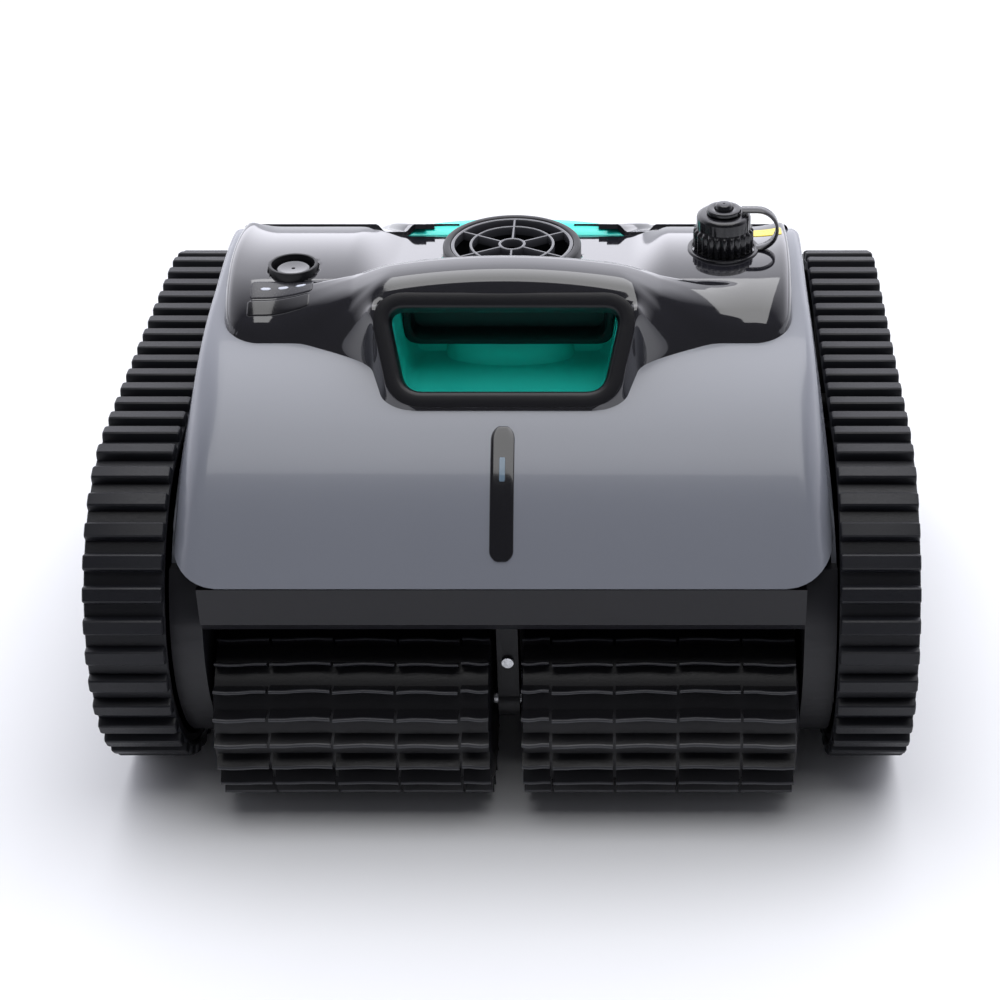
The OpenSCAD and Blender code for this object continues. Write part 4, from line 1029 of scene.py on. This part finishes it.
# ---- brush rollers ----
def brush(side):
    """Rubber sleeve: five columns of curved paddles, each with a paler tip."""
    name = "left" if side < 0 else "right"
    y0, z0 = (SLEEVE[2] + SLEEVE[3]) / 2, (SLEEVE[4] + SLEEVE[5]) / 2
    reach = (SLEEVE[5] - SLEEVE[4]) / 2
    paddle_h = 7.6
    root = reach - paddle_h
    x0, x1 = SLEEVE[0], SLEEVE[1]
    rows = 22  # paddles round the barrel
    shares = (0, 0.11, 0.34, 0.57, 0.8, 1)  # where the columns of paddles start and end
    barrel = [[(side * x, y0 + r * math.cos(a), z0 + r * math.sin(a)) for a in circle(72)]
              for x, r in ((x0, root - 1), (x0 + 0.8, root + 0.3), (x1 - 0.8, root + 0.3),
                           (x1, root - 1))]
    sleeve = loft("brush_barrel_" + name, barrel, BRUSH_RUBBER, "brush_" + name)
    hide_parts("brush_sleeve_" + name)
    blade = [(0.0, -0.5, 2.3), (0.35, 0.3, 1.7), (0.72, 1.3, 1.35), (0.93, 2.1, 1.25)]
    for part, material in (("paddles", BRUSH_RUBBER), ("tips", TIP_RUBBER)):
        points = []
        faces = []
        for k in range(len(shares) - 1):
            a0 = x0 + shares[k] * (x1 - x0) + 0.2
            a1 = x0 + shares[k + 1] * (x1 - x0) - 1.3
            shift = 0.05 * ((k * 2) % 3)
            for row in range(rows):
                base = 2 * math.pi * (row + 0.45 + shift * 0.4) / rows
                start = len(points)
                stations = spaced(a0, a1, 4)
                for n, x in enumerate(stations):
                    wave = 0.5 * math.sin(n * 1.4 + k)
                    if part == "paddles":
                        outline = [(root + f * (reach - root), lean + wave * f, -w / 2)
                                   for f, lean, w in blade]
                        outline += [(root + f * (reach - root), lean + wave * f, w / 2)
                                    for f, lean, w in reversed(blade)]
                    else:
                        foot, low, lean = root + 0.88 * (reach - root), 2.0 + wave * 0.9, 2.3 + wave
                        outline = [(foot, low, -0.8), (reach - 0.3, lean, -0.75),
                                   (reach, lean, -0.3), (reach, lean, 0.3),
                                   (reach - 0.3, lean, 0.75), (foot, low, 0.8)]
                    for r, lean, w in outline:
                        r = min(r, reach - 0.02)
                        a = base + (lean + w) / r
                        points.append((side * x, y0 + r * math.cos(a), z0 + r * math.sin(a)))
                m = len(outline)
                faces += grid_faces(len(stations), m, wrap=True, start=start)
                faces.append(tuple(range(start, start + m))[::-1])
                faces.append(tuple(range(start + 4 * m, start + 5 * m)))
        new_piece(f"brush_{part}_{name}", points, faces, material, "brush_" + name, 50)


# ---- pieces that keep their CAD shape, with softened edges ----
def softened_nodes():
    """Black, grey and clear mouldings that keep their CAD shape but for softer edges."""
    for node, width in (("chassis_tub", 0.8), ("rear_louvres", 0.5), ("hex_button", 0.7)):
        soften(node, width, 2, SATIN_BLACK)
    for side in ("left", "right"):
        for node, width in (("front_wheel_", 0.5), ("rear_wheel_", 0.5), ("side_cover_", 0.6)):
            soften(node + side, width, 2, SATIN_BLACK)
        for node in ("front_hub_cap_", "rear_hub_cap_"):
            soften(node + side, 0.5, 3, SHELL_GREY)
        for node, width in (("inlet_flap_", 0.3), ("brush_core_", 0.5)):
            soften(node + side, width, 2, SATIN_BLACK)
    soften("brush_bracket", 0.6, 2, SATIN_BLACK)
    soften("filter_basket", 0.4, 2, CLEAR)


CAD_FINISH = {
    "case_screws": STEEL, "side_cover_screws": STEEL, "wheel_axles": STEEL, "hinge_pins": STEEL,
    "power_spring": STEEL, "charge_pins": BRASS, "brush_bushes": BRASS, "filter_mesh": SCREEN,
    "pump_housing": SATIN_BLACK, "pump_motor": STEEL, "impeller": SATIN_BLACK,
    "battery_pack": BATTERY, "control_board": BOARD, "drive_motor_left": STEEL,
    "drive_motor_right": STEEL, "drive_pinion_left": WHITE, "drive_pinion_right": WHITE,
    "brush_drive_left": STEEL, "brush_drive_right": STEEL,
}


def finish_cad_nodes():
    """Materials for the nodes that are shown just as the CAD made them."""
    for node, material in CAD_FINISH.items():
        obj = frame["nodes"][node]
        obj.data.materials.clear()
        obj.data.materials.append(material)


# ---- floor, light and camera ----
def floor():
    """Pale floor, a hair below the wheels so that nothing flickers."""
    mat = plastic("floor_paper", (0.86, 0.87, 0.89), 0.9, 60, 0.01, 0.01, 0.03, 0, 0.1)
    mesh = bpy.data.meshes.new("floor")
    half, below = 9.0, 0.0004
    mesh.from_pydata([(-half, -half, 0), (half, -half, 0), (half, half, 0), (-half, half, 0)], [],
                     [(0, 1, 2, 3)])
    obj = bpy.data.objects.new("floor", mesh)
    bpy.context.scene.collection.objects.link(obj)
    mesh.materials.append(mat)
    obj.location.z = -below


def softbox(name, at, size, power, aim=(0, 0, 0.1)):
    """A rectangular lamp, in metres, turned towards aim."""
    lamp = bpy.data.lights.new(name, "AREA")
    lamp.shape = "RECTANGLE"
    lamp.size, lamp.size_y = size
    lamp.energy = power
    obj = bpy.data.objects.new(name, lamp)
    bpy.context.scene.collection.objects.link(obj)
    obj.location = at
    obj.rotation_euler = (Vector(aim) - Vector(at)).to_track_quat("-Z", "Y").to_euler()


def studio():
    """Surroundings that are dim in front of the object and bright behind it, and one lamp above."""
    world = bpy.data.worlds.new("studio")
    world.use_nodes = True
    tree = world.node_tree
    back = tree.nodes["Background"]
    back.inputs["Color"].default_value = (0.92, 0.92, 1.0, 1)
    where = tree.nodes.new("ShaderNodeTexCoord")
    split = tree.nodes.new("ShaderNodeSeparateXYZ")
    tree.links.new(where.outputs["Generated"], split.inputs["Vector"])
    dim, bright = 0.13, 2.1
    behind = add_range(tree, split.outputs["Y"], dim, bright, -0.20, 0.60)
    tree.links.new(behind.outputs["Result"], back.inputs["Strength"])
    bpy.context.scene.world = world
    softbox("top_panel", (0.2, 0.0, 2.4), (2.6, 2.2), 46)


def camera():
    """The photograph's front view, from the fitted place: level, and shifted off its middle."""
    aside, ahead, above, pitch = 0.066, 1.083, 0.752, 30.75
    cam = bpy.data.cameras.new("camera")
    obj = bpy.data.objects.new("camera", cam)
    bpy.context.scene.collection.objects.link(obj)
    obj.location = (aside, (CAD_LOW.y + CAD_HIGH.y) / 2 - ahead, above)
    obj.rotation_euler = (math.radians(90 - pitch), 0, 0)
    cam.lens = 81
    cam.shift_x = -0.137
    cam.shift_y = -0.036
    cam.clip_start, cam.clip_end = 0.01, 50
    bpy.context.scene.camera = obj
    bpy.context.scene.view_settings.view_transform = "Standard"


for build in (front_shell, status_window, top_deck, handle_frame, handle_cup, cup_bulge,
              grip_liner, outlet_ring, outlet_grille, port_pad, charge_cap, cap_collar, cap_strap,
              power_button, control_strip, warning_label, rear_cover, cover_pull):
    build()
for track_side in (-1, 1):
    track(track_side)
    brush(track_side)
softened_nodes()
finish_cad_nodes()
floor()
studio()
camera()
